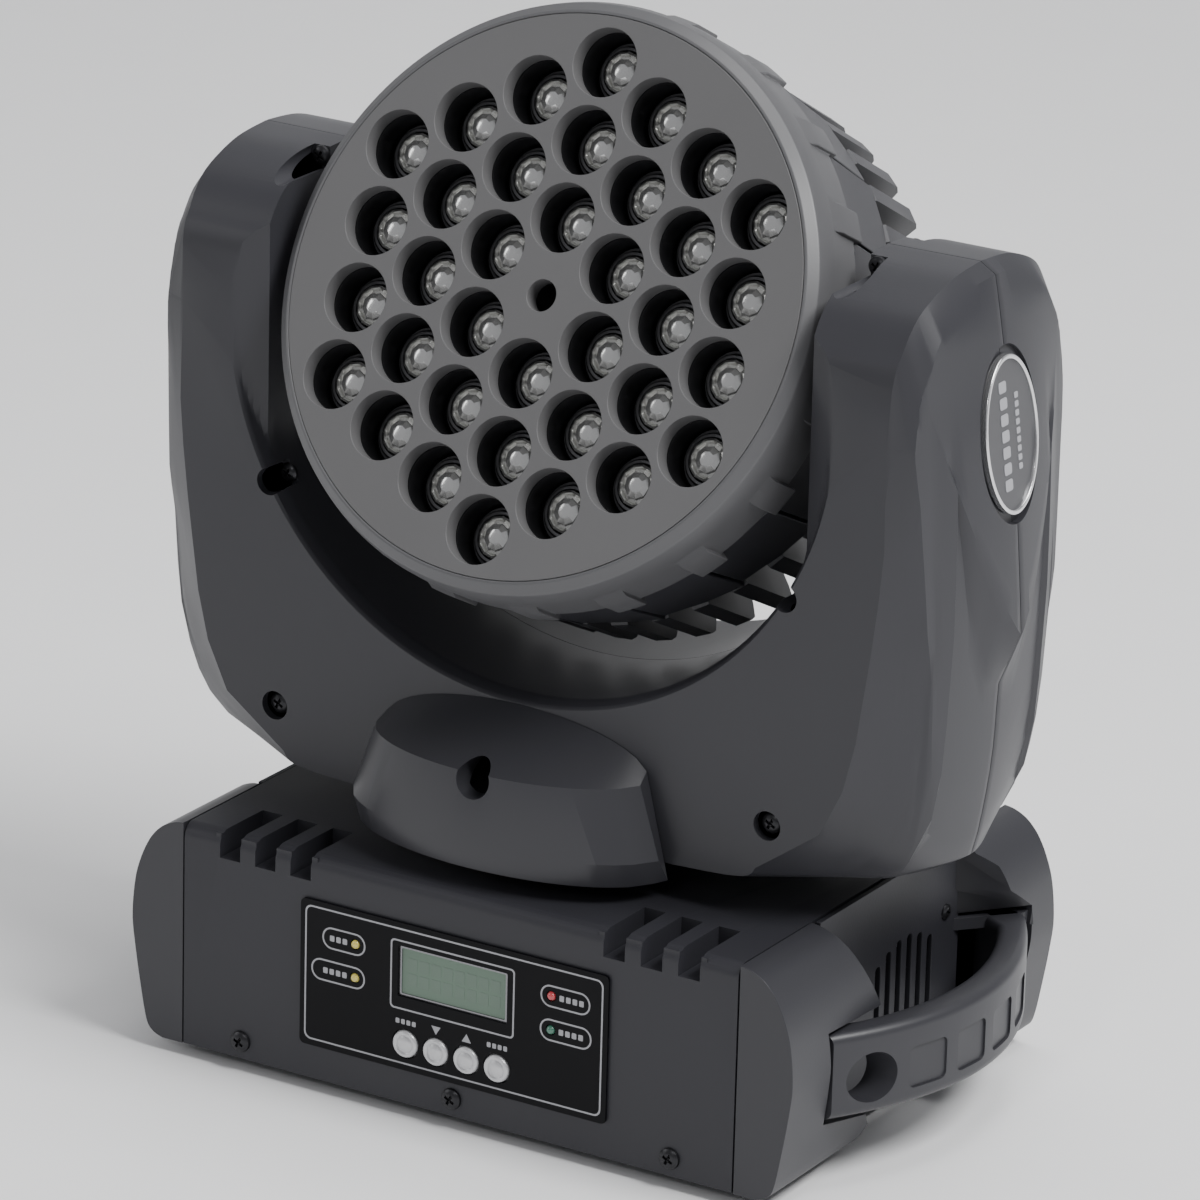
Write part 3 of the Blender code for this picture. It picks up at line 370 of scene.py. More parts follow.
SCREEN = surface("green grey display", (0.135, 0.195, 0.150), 0.35, tint=0.08, sheen=0.3)
SILVER = surface("silver plastic", (0.55, 0.55, 0.56), 0.30, metallic=0.35, tint=0.04)
RIM = surface("polished rim", (0.78, 0.78, 0.79), 0.20, metallic=0.9)
PLATE = surface("dark badge plate", (0.085, 0.085, 0.09), 0.38, metallic=0.3)
SCREW = surface("black oxide screw", (0.030, 0.030, 0.033), 0.32, metallic=0.7)
ZINC = surface("zinc screw", (0.52, 0.52, 0.54), 0.30, metallic=1)
STEEL = surface("turned steel", (0.48, 0.48, 0.50), 0.30, metallic=1, grain=0.05)
ALUMINIUM = surface("machined aluminium", (0.66, 0.66, 0.68), 0.34, metallic=1, grain=0.05)
RUBBER = surface("black rubber", (0.018, 0.018, 0.018), 0.75, grain=0.2)
BOARD = surface("green circuit board", (0.02, 0.11, 0.05), 0.42, grain=0.1)
AMBER = surface("amber lamp", (0.62, 0.52, 0.12), 0.18, coat=0.6)
RED = surface("red lamp", (0.50, 0.05, 0.06), 0.16, coat=0.6)
GREEN = surface("green lamp", (0.05, 0.16, 0.11), 0.16, coat=0.6)
BRASS = surface("gilded contact", (0.70, 0.52, 0.22), 0.28, metallic=1)
WIRE_GOLD = surface("yellow wire", (0.55, 0.36, 0.06), 0.45)
WIRE_WHITE = surface("white wire", (0.62, 0.62, 0.60), 0.45)
WIRE_BLUE = surface("blue wire", (0.07, 0.12, 0.36), 0.45)

CAD_FINISH = {"base_tray": SHEET, "power_supply": ALUMINIUM, "yoke_frame": STEEL, "pan_spindle": STEEL,
              "pan_bearing": STEEL, "tilt_bearing_left": STEEL, "tilt_bearing_right": STEEL,
              "control_board": BOARD, "led_board": BOARD}
for axis_name in ("pan_", "tilt_"):
    CAD_FINISH.update({axis_name + "belt": RUBBER, axis_name + "motor": SOCKET,
                       axis_name + "motor_pulley": ALUMINIUM, axis_name + "pulley": ALUMINIUM})
for place in ("front_left", "front_right", "rear_left", "rear_right"):
    CAD_FINISH["foot_" + place] = RUBBER
for node, material in CAD_FINISH.items():
    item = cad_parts[node]
    item.data.materials.clear()
    item.data.materials.append(material)
    soften(item, 0.3)


# ---- screws and small parts

def screw_mesh(radius, height):
    """Pan head with a cross recess, standing from y = 0 towards -Y."""
    profile = [(0, height), (radius * 0.45, height * 0.96), (radius * 0.75, height * 0.8),
               (radius * 0.95, height * 0.45), (radius, 0), (radius * 0.5, 0), (radius * 0.5, -3),
               (0, -3)]
    mesh = turned(profile, "Y", segments=32)
    arm, width = radius * 0.52, radius * 0.13
    for half_x, half_z, depth in ((arm, width, 0.35), (width, arm, 0.36)):
        bar = ((-half_x, -half_z), (half_x, -half_z), (half_x, half_z), (-half_x, half_z))
        mesh = cut(mesh, prism(bar, "Y", height * depth, height + 1))
    mirrored(mesh, "Y")
    return moved(mesh, Matrix.Rotation(radians(28), 4, "Y"))


def place_screw(name, at, radius, height, body, material=SCREW, direction=(0, -1, 0), stands_for=()):
    turn = Vector((0, -1, 0)).rotation_difference(Vector(direction)).to_matrix().to_4x4()
    mesh = moved(screw_mesh(radius, height), Matrix.Translation(at) @ turn)
    piece(name, mesh, material, body, "screw", stands_for, edge=0.12)


# ---- base

def arch(inset):
    """Section of the cover: straight walls and rounded top edges, moved inwards by inset."""
    wall, top, radius = BASE_BACK - inset, BASE_TOP - inset, 5 - inset
    half = [(-wall, BASE_BOTTOM)]
    for i in range(9):
        angle = radians(180 - 90 * i / 8)
        half.append((-wall + radius + radius * cos(angle), top - radius + radius * sin(angle)))
    return half + [(-y, z) for y, z in reversed(half)]


def panel_holes(button_radius, lamp_radius, low, high, button_segments):
    """Cutters for the holes of the buttons and the lamps in the front panel."""
    holes = [rod("Y", (x, BUTTON_Z), button_radius, low, high, button_segments) for x in BUTTON_XS.values()]
    for side in (-1, 1):
        holes += [rod("Y", (side * LAMP_X, z), lamp_radius, low, high, 24) for z in LAMP_ZS]
    return holes


def build_cover():
    """Sheet metal cover with two groups of three pocketed slots, and its openings front and back."""
    outline = arch(0) + arch(SHEET_THICKNESS)[::-1]
    cover = prism(outline, "X", -BASE_HALF_WIDTH, BASE_HALF_WIDTH)
    front, back = -BASE_BACK, BASE_BACK
    blocks, pockets, drops = [], [], []
    for side in (-1, 1):
        middle = side * SLOT_MIDDLE
        blocks.append(box((middle - 21, front + 0.7, 71), (middle + 21, front + 29, 86.2)))
        for x in SLOT_XS:
            low, high = side * x - SLOT_HALF_WIDTH, side * x + SLOT_HALF_WIDTH
            pockets.append(box((low, front - 1, SLOT_BOTTOM), (high, front + SLOT_LENGTH, 88)))
            drops.append(box((low, front + 17, 66), (high, front + SLOT_LENGTH, 80)))
    cover = add(cover, *blocks)
    cover = cut(cover, *pockets)
    cover = cut(cover, *drops)
    opening = box((-24.6, front - 1, 42.6), (24.6, front + 3, 65.2))
    hub_hole = rod("Z", (0, 0), HUB_HOLE_RADIUS, 82, 88, 64)
    holes = panel_holes(5.6, 2.2, front - 1, front + 3, 32)
    screws = [rod("Y", (x, BASE_SCREW_Z), 2.1, front - 1, front + 3, 16) for x in BASE_SCREW_XS.values()]
    rear = [box((INLET_X - 13.8, back - 3, 22), (INLET_X + 13.8, back + 1, 42)),
            rod("Y", FUSE_XZ, 6.2, back - 3, back + 1)]
    rear += [rod("Y", (x, DATA_Z), 12, back - 3, back + 1) for x in DATA_XS.values()]
    cover = cut(cover, opening, hub_hole, *holes, *screws, *rear)
    skin("base_cover", cover, SHEET, "base", "sheet", edge=0.45)


CORNER_OUTER = ((111.8, 4.7), (120.5, 4.7), (124.5, 6.4), (127.2, 10.5), (129.9, 24), (132.3, 39),
                (133.2, 49), (132, 62), (129.4, 71), (125.6, 78.6), (121, 83.6), (116, 86.2),
                (111.8, BASE_TOP))
CORNER_POCKET = ((105, 9), (117.5, 9), (121.5, 24), (125, 49), (123, 64), (114.5, 83),
                 (105, 83))
CORNER_GAP = ((0, -5), (37, -5), (36, 3), (28, 12), (31.5, 17), (63, 24.6), (66, 59.2),
              (31, 57.6), (43.5, 86), (46, 95), (0, 95))


def build_corner(name, sx, sy):
    """Moulded corner of the base. The front ones are hollow, the rear ones end in a slanted solid horn."""
    outline = [CORNER_OUTER[0]] + smooth_line(CORNER_OUTER[1:], 5)
    corner = prism(outline, "Y", 20, BASE_BACK)
    gap = prism(CORNER_GAP, "X", 100, 150)
    if sy < 0:
        corner = cut(corner, prism(CORNER_POCKET, "Y", 10, BASE_BACK - 3.2))
        corner = cut(corner, gap)
    else:
        for vertex in gap.verts:
            if vertex.co.z > 20 and vertex.co.y > 60:
                vertex.co.y += 9
        corner = cut(corner, gap)
        reach = loft([((111, 10, z), (150, 10, z), (150, y, z), (111, HORN_INNER_Y, z))
                      for z, y in HORN_REACH])
        corner = cut(corner, reach)
        bar = ((112.2, 50.5), (131, 71.5), (131, 84), (112.2, 84))
        corner = add(corner, prism(bar, "Z", 52.6, 57))
        corner = add(corner, box((112.2, 46, 17.5), (122, 88, 24.6)))
    if sx < 0:
        mirrored(corner, "X")
    if sy < 0:
        mirrored(corner, "Y")
    skin(name, corner, CASING, "base", "casing", edge=1.1, angle=38, segments=3)


def bow(y):
    """How far out the outer face of a handle stands."""
    return HANDLE_END_X + HANDLE_BULGE * (1 - ((y - HANDLE_MIDDLE_Y) / HANDLE_HALF_LENGTH) ** 2)


def build_handle(side_name, side):
    """Bowed carry handle with a hole near its front end and four shallow square pads."""
    steps = 40
    rings = []
    for i in range(steps + 1):
        y = HANDLE_MIDDLE_Y + HANDLE_HALF_LENGTH * (2 * i / steps - 1)
        outer = bow(y)
        share = min(max((abs(y - HANDLE_MIDDLE_Y) - 53) / 9, 0), 1)
        inner = (outer - 12) * (1 - share) + 114.3 * share
        section = rounded_box(((outer + inner) / 2, HANDLE_Z), (outer - inner) / 2, 15.4, 3.6, 5)
        rings.append([(x, y, z) for x, z in section])
    handle = loft(rings)
    pads = []
    for y in HANDLE_PAD_YS:
        pad = prism(rounded_box((y, HANDLE_GRIP_Z), 8.2, 7.6, 2.4, 4), "X", bow(y) - 1.1, 175)
        slope = -2 * HANDLE_BULGE * (y - HANDLE_MIDDLE_Y) / HANDLE_HALF_LENGTH ** 2
        for vertex in pad.verts:
            vertex.co.x += slope * (vertex.co.y - y)
        pads.append(pad)
    hole = rod("X", (HANDLE_HOLE_Y, HANDLE_GRIP_Z), 9, bow(HANDLE_HOLE_Y) - 15, 175)
    handle = cut(handle, hole)
    handle = cut(handle, *pads)
    if side < 0:
        mirrored(handle, "X")
    skin("carry_handle_" + side_name, handle, CASING, "base", "casing", edge=0.7, angle=34)


def build_side_plate(side_name, side):
    wide, top, bottom = 86.8, 41.6, 29
    outline = ((-wide, 9.4), (-bottom, 9.4), (-bottom, 5.4), (bottom, 5.4), (bottom, 9.4), (56, 9.4),
               (56, 82.6), (top, 82.6), (top, 86.6), (-top, 86.6), (-top, 82.6), (-wide, 82.6))
    plate = prism(outline, "X", *PLATE_X)
    slots = []
    slot_bottom = 28.5
    for i in range(6):
        height = 54 + 8 * sin(pi * (i + 0.7) / 6.4)
        centre = (7.2 * i - 0.5, (slot_bottom + height) / 2)
        slot = rounded_box(centre, 1.7, (height - slot_bottom) / 2, 1.6, 4)
        slots.append(prism(slot, "X", 111, 115))
    plate = cut(plate, *slots)
    if side < 0:
        mirrored(plate, "X")
    skin("side_plate_" + side_name, plate, SHEET, "base", "sheet", edge=0.3)
    place_screw("side_screw_" + side_name, (side * PLATE_X[1], 46, 61.8), 2.9, 1.3, "base",
                direction=(side, 0, 0))


def tile(centre, half_x, half_z, radius, low, high, steps=5):
    """Rounded rectangle facing front or back, between two depths."""
    return prism(rounded_box(centre, half_x, half_z, radius, steps), "Y", low, high)


def printed_line(centre, half_x, half_z, radius, inner_radius, steps=5):
    """Printed line round a rounded rectangle of the panel."""
    width = 0.6
    outer = rounded_box(centre, half_x, half_z, radius, steps)
    inner = rounded_box(centre, half_x - width, half_z - width, inner_radius, steps)
    return band(outer, inner, "Y", *PRINT_DEPTHS)


def build_panel():
    """Black front label with printed frames and marks, and the display in its window."""
    plate = tile((0, 44.65), 62, 26.95, 2, PANEL_FRONT, PANEL_BACK)
    low, high = PANEL_FRONT - 1, PANEL_BACK + 1
    window = tile((0, DISPLAY_Z), 22, 9.2, 0.6, low, high)
    plate = cut(plate, window, *panel_holes(5.35, 1.9, low, high, 40))
    skin("panel_label", plate, BLACK, "base", "black", edge=0.12)

    marks = [printed_line((0, 44.8), 60, 24.8, 2.6, 2.2), printed_line((0, 52.6), 25, 12.7, 1.6, 1.2)]
    near, first = 35.3, 42.7
    for side, z, far in ((-1, 59.2, 52.9), (-1, 46.9, 57.3), (1, 59.2, 55), (1, 46.9, 55.8)):
        marks.append(printed_line((side * (near + far) / 2, z), (far - near) / 2, 4, 3.9, 3.3, 8))
        for i in range(int((far - 1.8 - first) / 2.6)):
            marks.append(tile((side * (first + 1 + 2.6 * i), z), 0.9, 1.05, 0.3, *PRINT_DEPTHS, 2))
    for i in range(4):
        for x in (BUTTON_XS["menu"], BUTTON_XS["enter"]):
            marks.append(tile((x - 3.3 + 2.2 * i, 35.6), 0.75, 0.9, 0.3, *PRINT_DEPTHS, 2))
    marks.append(prism(((-8, 37), (-4.3, 37), (-6.15, 34)), "Y", *PRINT_DEPTHS))
    marks.append(prism(((4.3, 34.2), (8, 34.2), (6.15, 37.2)), "Y", *PRINT_DEPTHS))
    piece("panel_print", joined(marks), PRINT, "base", "silver")

    screen = box((-21.8, -90.4, 44.9), (21.8, -84.8, 62.9))
    piece("display_screen", screen, SCREEN, "base", "display", ("lcd_display",))
    outer = rounded_box((0, DISPLAY_Z), 23.9, 10.9, 0.8)
    inner = rounded_box((0, DISPLAY_Z), 20.9, 8.3, 0.5)
    piece("display_frame", band(outer, inner, "Y", -90.75, -90.42), HOLDER, "base", "display")
    cells = [tile((-16.8 + 4.8 * i, z), 1.9, 2.3, 0.2, -90.46, -90.38, 1)
             for z in (56.6, 51) for i in range(8)]
    shade = surface("display cell shade", (0.118, 0.172, 0.132), 0.35)
    piece("display_cells", joined(cells), shade, "base", "display")


def build_buttons():
    """Round caps with a domed middle and a groove inside the rim."""
    profile = [(0, -93), (1.1, -92.93), (2.1, -92.7), (2.8, -92.35), (3.1, -92.2), (3.5, -92.45),
               (4.1, -92.6), (4.6, -92.4), (4.85, -91.8), (4.9, -91), (4.9, -88.7), (6, -88.7),
               (6, -87.6), (3, -87.6), (3, -86.4), (0, -86.4)]
    for label, x in BUTTON_XS.items():
        name = "button_" + label
        cap = turned(profile, "Y", (x, BUTTON_Z), 48)
        piece(name + "_cap", cap, SILVER, name, "silver", (name,), angle=50)


def build_lamps():
    """Two amber lamps on the left of the panel, a red one above a green one on the right."""
    profile = [(0, -92.6), (0.7, -92.5), (1.3, -92.1), (1.6, -91.5), (1.6, -88), (0, -88)]
    places = [(side * LAMP_X, z) for side in (-1, 1) for z in LAMP_ZS]
    for index, (place, finish) in enumerate(zip(places, (AMBER, AMBER, RED, GREEN))):
        lamp = turned(profile, "Y", place, 24)
        piece("signal_lamp_%d" % (index + 1), lamp, finish, "base", "board", angle=60)


def build_data_socket(name, x, back):
    """Round socket: pins on a floor in the input, a core with holes in the output."""
    centre = (x, DATA_Z)
    socket = tile(centre, 13, 15.5, 2, back, back + 2)
    socket = add(socket, rod("Y", centre, 11.3, back - 18, back + 1))
    socket = cut(socket, rod("Y", centre, 8.9, back - 15, back + 3))
    skin(name, socket, SILVER, "base", "silver", edge=0.4)
    spots = [(x + 4.1 * cos(angle), DATA_Z + 4.1 * sin(angle))
             for angle in (pi / 2, radians(215), radians(325))]
    if name == "data_in":
        floor = rod("Y", centre, 8.8, back - 15.2, back - 13.5)
        piece(name + "_floor", floor, SOCKET, "base", "black", edge=0.2)
        pins = [rod("Y", spot, 1.2, back - 14, back - 3, 20) for spot in spots]
        piece(name + "_pins", joined(pins), BRASS, "base", "steel", edge=0.4)
    else:
        core = rod("Y", centre, 7.6, back - 15.2, back - 1)
        core = cut(core, *[rod("Y", spot, 1.6, back - 8, back + 1, 20) for spot in spots])
        piece(name + "_core", core, SOCKET, "base", "black", edge=0.3)
    for label, dx, dz in (("top", -9.6, 12), ("low", 9.6, -12)):
        at = (x + dx, back + 2, DATA_Z + dz)
        place_screw("%s_screw_%s" % (name, label), at, 2, 0.7, "base", ZINC, (0, 1, 0))


def build_base_details():
    """Front screws, and everything set into the back."""
    for label, x in BASE_SCREW_XS.items():
        place_screw("base_screw_" + label + "_head", (x, -90.6, BASE_SCREW_Z), 3.9, 1.8, "base",
                    stands_for=("base_screw_" + label,))
    back = BASE_BACK + 0.3
    inlet = tile((INLET_X, INLET_Z), 24, 12, 2, back, back + 2)
    inlet = add(inlet, box((INLET_X - 13.4, back - 15, 22.4), (INLET_X + 13.4, back + 1, 41.6)))
    inlet = cut(inlet, box((INLET_X - 11, back - 12, 24.5), (INLET_X + 11, back + 3, 39.5)))
    skin("power_inlet", inlet, SOCKET, "base", "black", edge=0.4)
    pins = [box((x - 0.9, back - 12.5, z - 2.6), (x + 0.9, back - 1.5, z + 2.6))
            for x, z in ((INLET_X - 6, 30.6), (INLET_X, 34), (INLET_X + 6, 30.6))]
    piece("power_inlet_pins", joined(pins), BRASS, "base", "steel", edge=0.3)
    for label, x in (("one", INLET_X - 20), ("two", INLET_X + 20)):
        place_screw("inlet_screw_" + label, (x, back + 2, INLET_Z), 2.2, 0.7, "base", ZINC, (0, 1, 0))
    fuse = turned(((0, back + 2), (5.6, back + 2), (7, back + 1.4), (7, back), (5.8, back),
                   (5.8, back - 18), (0, back - 18)), "Y", FUSE_XZ, 48)
    fuse = cut(fuse, box((-39.5, back + 0.9, 31.3), (-30.5, back + 4, 32.7)))
    skin("fuse_holder", fuse, SOCKET, "base", "black", edge=0.3)
    for name, x in DATA_XS.items():
        build_data_socket(name, x, back)
    plate = tile((-5, 66), 34, 10, 1.5, BASE_BACK + 0.02, BASE_BACK + 0.3)
    piece("rating_plate", plate, PLATE, "base", "silver", edge=0.1)
    lines = []
    for row in range(4):
        for i, width in enumerate((9, 5, 12, 7)):
            centre = (-34 + 16 * i + width / 2, 73 - 4.6 * row)
            lines.append(tile(centre, width / 2, 0.7, 0.3, BASE_BACK + 0.25, BASE_BACK + 0.36, 2))
    piece("rating_print", joined(lines), PRINT, "base", "silver")


# ---- yoke

# CREST, EDGE and the two TONGUE tables: depth, height. The tongue is the raised field round the badge.
# ROWS: height, x of the front edge, x of the ridge, depth of the ridge, x of the seam.
CREST = ((-54, 268), (-53.4, 280), (-51.5, 288), (-48.1, 293), (-44.8, 298), (-39, 303.5),
         (-29.2, 308), (-16.8, 311.5), (0, 313))
EDGE = ((-50.3, 262), (-49.3, 272), (-45.2, 283), (-41.7, 287.5), (-38.4, 292.5), (-33.7, 297.5),
        (-25.3, 302.8), (-14.2, 307.3), (0, 309.4))
ROWS = ((100, 63, 129, -27, 143), (106, 95, 137.1, -30, 147.8),
        (112, 105.5, 141.5, -32, 149.5), (120, 116.4, 144.8, -34, 151),
        (130, 122.9, 147.2, -36, 152.6), (145, 128.8, 149.6, -38, 154.3),
        (162, 132.2, 150.9, -38.5, 155), (180, 134.5, 151.3, -40, 156),
        (197, 136.8, 151.2, -43.7, 156.6), (225, 139.4, 149.8, -46.5, 156.8),
        (246, 139, 148.6, -48.8, 156.4), (262, 138.5, 147.3, -50.3, 155.6),
        (284, 139.6, 147.3, -44.5, 151.8), (299, 140.4, 147.3, -31, 149.2),
        (309.4, 141, 147.3, 0, 147.3), (313, 141.3, 147.3, 0, 147.3))
TONGUE = ((-47, 284), (-35, 251), (-24.2, 226), (-11.3, 202), (-4, 191.5), (0, 187))
TONGUE_FOOT = ((-47, 283), (-38.2, 270), (-30.3, 237.7), (-22.5, 196.5), (-10.3, 170), (0, 168.6))
RISE = 6.6


CREST = smooth_line(CREST, 5)
EDGE = smooth_line(EDGE, 5)
ROWS = smooth_line(ROWS, 5)
CREST_BY_HEIGHT = [(z, y) for y, z in CREST]


def ridge_height(y):
    """Height at which the ridge of the side crosses depth y below the badge."""
    for row in ROWS:
        if 106 <= row[0] <= 262 and row[3] <= y:
            return row[0]
    return 262


def side_x(y, z):
    """How far out the outer side of an arm stands."""
    front_y = along(CREST_BY_HEIGHT, z)
    front_x, ridge_x, ridge_y, seam_x = [along(ROWS, z, column) for column in (1, 2, 3, 4)]
    if y <= ridge_y:
        return front_x + (ridge_x - front_x) * max(y - front_y, 0) / max(ridge_y - front_y, 0.01)
    share = 1 - (y - ridge_y) / (0.01 - ridge_y)
    x = seam_x - (seam_x - ridge_x) * share ** 1.6
    top, foot = along(TONGUE, y), along(TONGUE_FOOT, y)
    rise = RISE * (min(max(270 - max(z, top), 0), 83) / 83) ** 1.3
    return x + rise * min(max((z - foot) / (top - foot), 0), 1)


def spaced(high, low, count):
    """Even steps from high towards low, without low itself."""
    return [high + (low - high) * i / count for i in range(count)]


def side_line(y):
    """Outer side of a yoke section as (x, z) points, from the top of the arm down to its bottom."""
    crest = along(CREST, y)
    edge = min(along(EDGE, y), crest - 0.6)
    tongue = min(max(along(TONGUE, y), 187), edge - 0.4) if y > -47 else edge - 0.4
    foot = min(along(TONGUE_FOOT, y), tongue - 0.4) if y > -47 else edge - 0.8
    ridge = min(max(ridge_height(y), 106.4), foot - 0.4)
    zs = spaced(edge, tongue, 12) + spaced(tongue, foot, 5) + spaced(foot, ridge, 8)
    zs += spaced(ridge, 106, 9) + [106]
    points = [(along(ROWS, crest), crest)]
    points += [(side_x(y, z), z) for z in zs]
    corner = points[-1][0]
    under = ((0.97, 104.2), (0.92, 102.9), (0.85, 102), (0.65, 101.1), (0.4, 100.6), (0, 100))
    points += [(63 + share * (corner - 63), z) for share, z in under]
    return points


# depth, radius of the round bottom, half width between the straight sides
MOUTH = ((-54, 119.6, 109), (-53.2, 118.7, 108.2), (-50, 117.6, 107.4), (-48, 117.2, 107))


def mouth_line(y, crest, wall=0):
    """Edge of the opening round the head in a yoke section, from the left arm's top round to the right's."""
    radius = along(MOUTH, y) + wall
    flat = along(MOUTH, y, 2) + wall
    if y < -48:
        flat = flat + (119.6 - 109) * min(max((-48 - y) / 6, 0), 1)
    start = atan2(crest - TILT_Z, flat)
    points = []
    steps = 72
    for i in range(steps + 1):
        angle = pi - start + (pi + 2 * start) * i / steps
        reach = min(radius, flat / max(abs(cos(angle)), 0.01))
        points.append((reach * cos(angle), TILT_Z + reach * sin(angle)))
    return points


def yoke_ring(y):
    """Section of the yoke's outside at depth y."""
    side = side_line(y)
    outer = side + [(-x, z) for x, z in reversed(side)]
    return [(x, y, z) for x, z in outer + mouth_line(y, side[0][1])]


def hollow_ring(y, wall=YOKE_WALL):
    """Section of the space inside the yoke, a wall's thickness within its outside."""
    top = along(CREST, y) - wall
    side = [(side_x(y, z) - 1.4 * wall, z) for z in spaced(top, 108, 40)]
    side += [(93, 104.2), (80, 103.4), (63, 103.2)]
    outer = side + [(-x, z) for x, z in reversed(side)]
    return [(x, y + wall, z) for x, z in outer + mouth_line(y, top, wall)]


LEVELS = (-54, -53.2, -52.2, -51.2, -50.3, -49.2, -48, -46.8, -45.2, -43.6, -42, -40, -38,
          -36, -34, -32, -30, -27, -24, -21, -18, -15, -12, -9, -6, -3, -0.9)
# place, radius and depth of the pocket
SHELL_SCREWS = (((99, 122), 5.2, 4), ((102.5, 203), 4.8, 13))


def leaning(mesh, side):
    """Badge part leant inwards at the top, like the side it sits on."""
    for vertex in mesh.verts:
        vertex.co.x -= side * 0.13 * (vertex.co.z - TILT_Z)
    return mesh


def build_shell(name, side):
    """Half of the yoke's casing with its openings and screws."""
    rings = [yoke_ring(y) for y in LEVELS]
    rings.append([(x * 0.9985, -0.15, z) for x, y, z in rings[-1]])
    shell = loft(rings)
    hollow = loft([hollow_ring(y) for y in LEVELS[:-1:2] + LEVELS[-1:]])
    pockets = [rod("Y", (sx * x, z), radius, YOKE_FRONT - 1, YOKE_FRONT + depth, 36)
               for (x, z), radius, depth in SHELL_SCREWS for sx in (-1, 1)]
    tip_x, tip_z = TIP_SCREW_XZ
    others = [rod("Y", (sx * tip_x, tip_z), 4.8, -60, -12, 36) for sx in (-1, 1)]
    others += [rod("X", (0, TILT_Z), 17, *sorted((sx * 100, sx * 116))) for sx in (-1, 1)]
    recess = circle((0, BADGE_Z), 19.4, 64, 30.2)
    others += [leaning(prism(recess, "X", *sorted((sx * 152.4, sx * 175))), sx) for sx in (-1, 1)]
    others.append(rod("Z", (0, 0), 41.5, 90, 115, 64))
    if side > 0:
        for mesh in (shell, hollow, *pockets, *others):
            mirrored(mesh, "Y")
    for tools in ([hollow], pockets, others):
        shell = cut(shell, *tools)
    skin(name, shell, CASING, "yoke", "casing", edge=0.5, angle=30)
    label = "front" if side < 0 else "rear"
    for index, ((x, z), radius, depth) in enumerate(SHELL_SCREWS):
        for side_name, sx in SIDES:
            stands_for = ("yoke_screw_" + side_name,) if side < 0 and index == 0 else ()
            at = (sx * x, side * (-YOKE_FRONT - depth), z)
            screw_name = "shell_screw_%s_%d_%s" % (label, index + 1, side_name)
            place_screw(screw_name, at, radius - 1.3, 2, "yoke", direction=(0, side, 0),
                        stands_for=stands_for)
    for side_name, sx in SIDES:
        place_screw("shell_screw_%s_3_%s" % (label, side_name), (sx * tip_x, side * 12.2, tip_z), 3.6, 2,
                    "yoke", direction=(0, side, 0))


def dome_points(inset, lip):
    """Corners of the cover under the yoke: bottom rim, crease, and the edge that meets the yoke's face."""
    back = 54.3
    points = []
    for i in range(25):
        share = i / 12 - 1
        sweep = sqrt(max(1 - (share * 0.98) ** 2, 0))
        bottom = (103 if lip else 94) + inset
        points.append((share * (61.5 - inset), -(back + (32 - inset) * sweep), bottom))
        points.append((share * (53 - inset), -(back + (28.5 - inset) * sweep), 128 - inset))
        points.append((share * (52 - inset), -back, 128 + 16 * sweep - inset))
        if lip:
            points.append((share * 59, -(back + 29.5 * sweep), 94))
    points += [(side * (61.5 - inset), -back, 94 + inset) for side in (-1, 1)]
    return points


def hull(points):
    """Closed solid round the points."""
    mesh = bmesh.new()
    for point in points:
        mesh.verts.new(point)
    made = bmesh.ops.convex_hull(mesh, input=mesh.verts)
    loose = [item for item in made["geom_interior"] if isinstance(item, bmesh.types.BMVert)]
    bmesh.ops.delete(mesh, geom=loose, context="VERTS")
    bmesh.ops.recalc_face_normals(mesh, faces=mesh.faces)
    return mesh


def build_boss(name, side):
    """Hollow cover under the yoke with a round hole."""
    cover = hull(dome_points(0, True))
    inside = hull([(x, y + 3.2, z - 3.5) for x, y, z in dome_points(3, False)])
    hole = rod("Y", (1, 125.5), 6.5, -95, -60, 48)
    cover = cut(cover, inside)
    cover = cut(cover, hole)
    if side > 0:
        mirrored(cover, "Y")
    skin(name, cover, CASING, "yoke", "casing", edge=1.8, angle=26, segments=4)


def build_badges():
    """Oval plate with a polished rim and plain marks on each side of the yoke."""
    middle = (0, BADGE_Z)
    for side_name, side in SIDES:
        name = "badge_" + side_name
        plate = prism(circle(middle, 16.4, 64, 25.6), "X", *sorted((side * 152.6, side * 154.2)))
        piece(name + "_plate", leaning(plate, side), PLATE, "yoke", "silver", (name,), edge=0.2)
        rim = band(circle(middle, 17.5, 64, 26.9), circle(middle, 16.1, 64, 25.3), "X",
                           *sorted((side * 152.6, side * 155.2)))
        piece(name + "_rim", leaning(rim, side), RIM, "yoke", "silver", edge=0.4)
        marks = []
        face = sorted((side * 154.15, side * 154.4))
        for i in range(7):
            centre = (-3.4 * side, BADGE_Z - 16.5 + 5.5 * i)
            marks.append(prism(rounded_box(centre, 2.4, 1.9, 0.9, 4), "X", *face))
        for i in range(9):
            centre = (5.2 * side, BADGE_Z - 12 + 3 * i)
            marks.append(prism(rounded_box(centre, 1.2, 1, 0.5, 3), "X", *face))
        piece(name + "_marks", leaning(joined(marks), side), PRINT, "yoke", "silver")


def tube_along(points, radius):
    """Round wire through points."""
    line = smooth_line([Vector(p) for p in points], 6)
    rings = []
    for i, point in enumerate(line):
        point = Vector(point)
        ahead = Vector(line[min(i + 1, len(line) - 1)]) - Vector(line[max(i - 1, 0)])
        turn = Vector((0, 0, 1)).rotation_difference(ahead.normalized()).to_matrix()
        rings.append([point + turn @ Vector((radius * cos(a), radius * sin(a), 0))
                      for a in [2 * pi * k / 8 for k in range(8)]])
    return loft(rings)


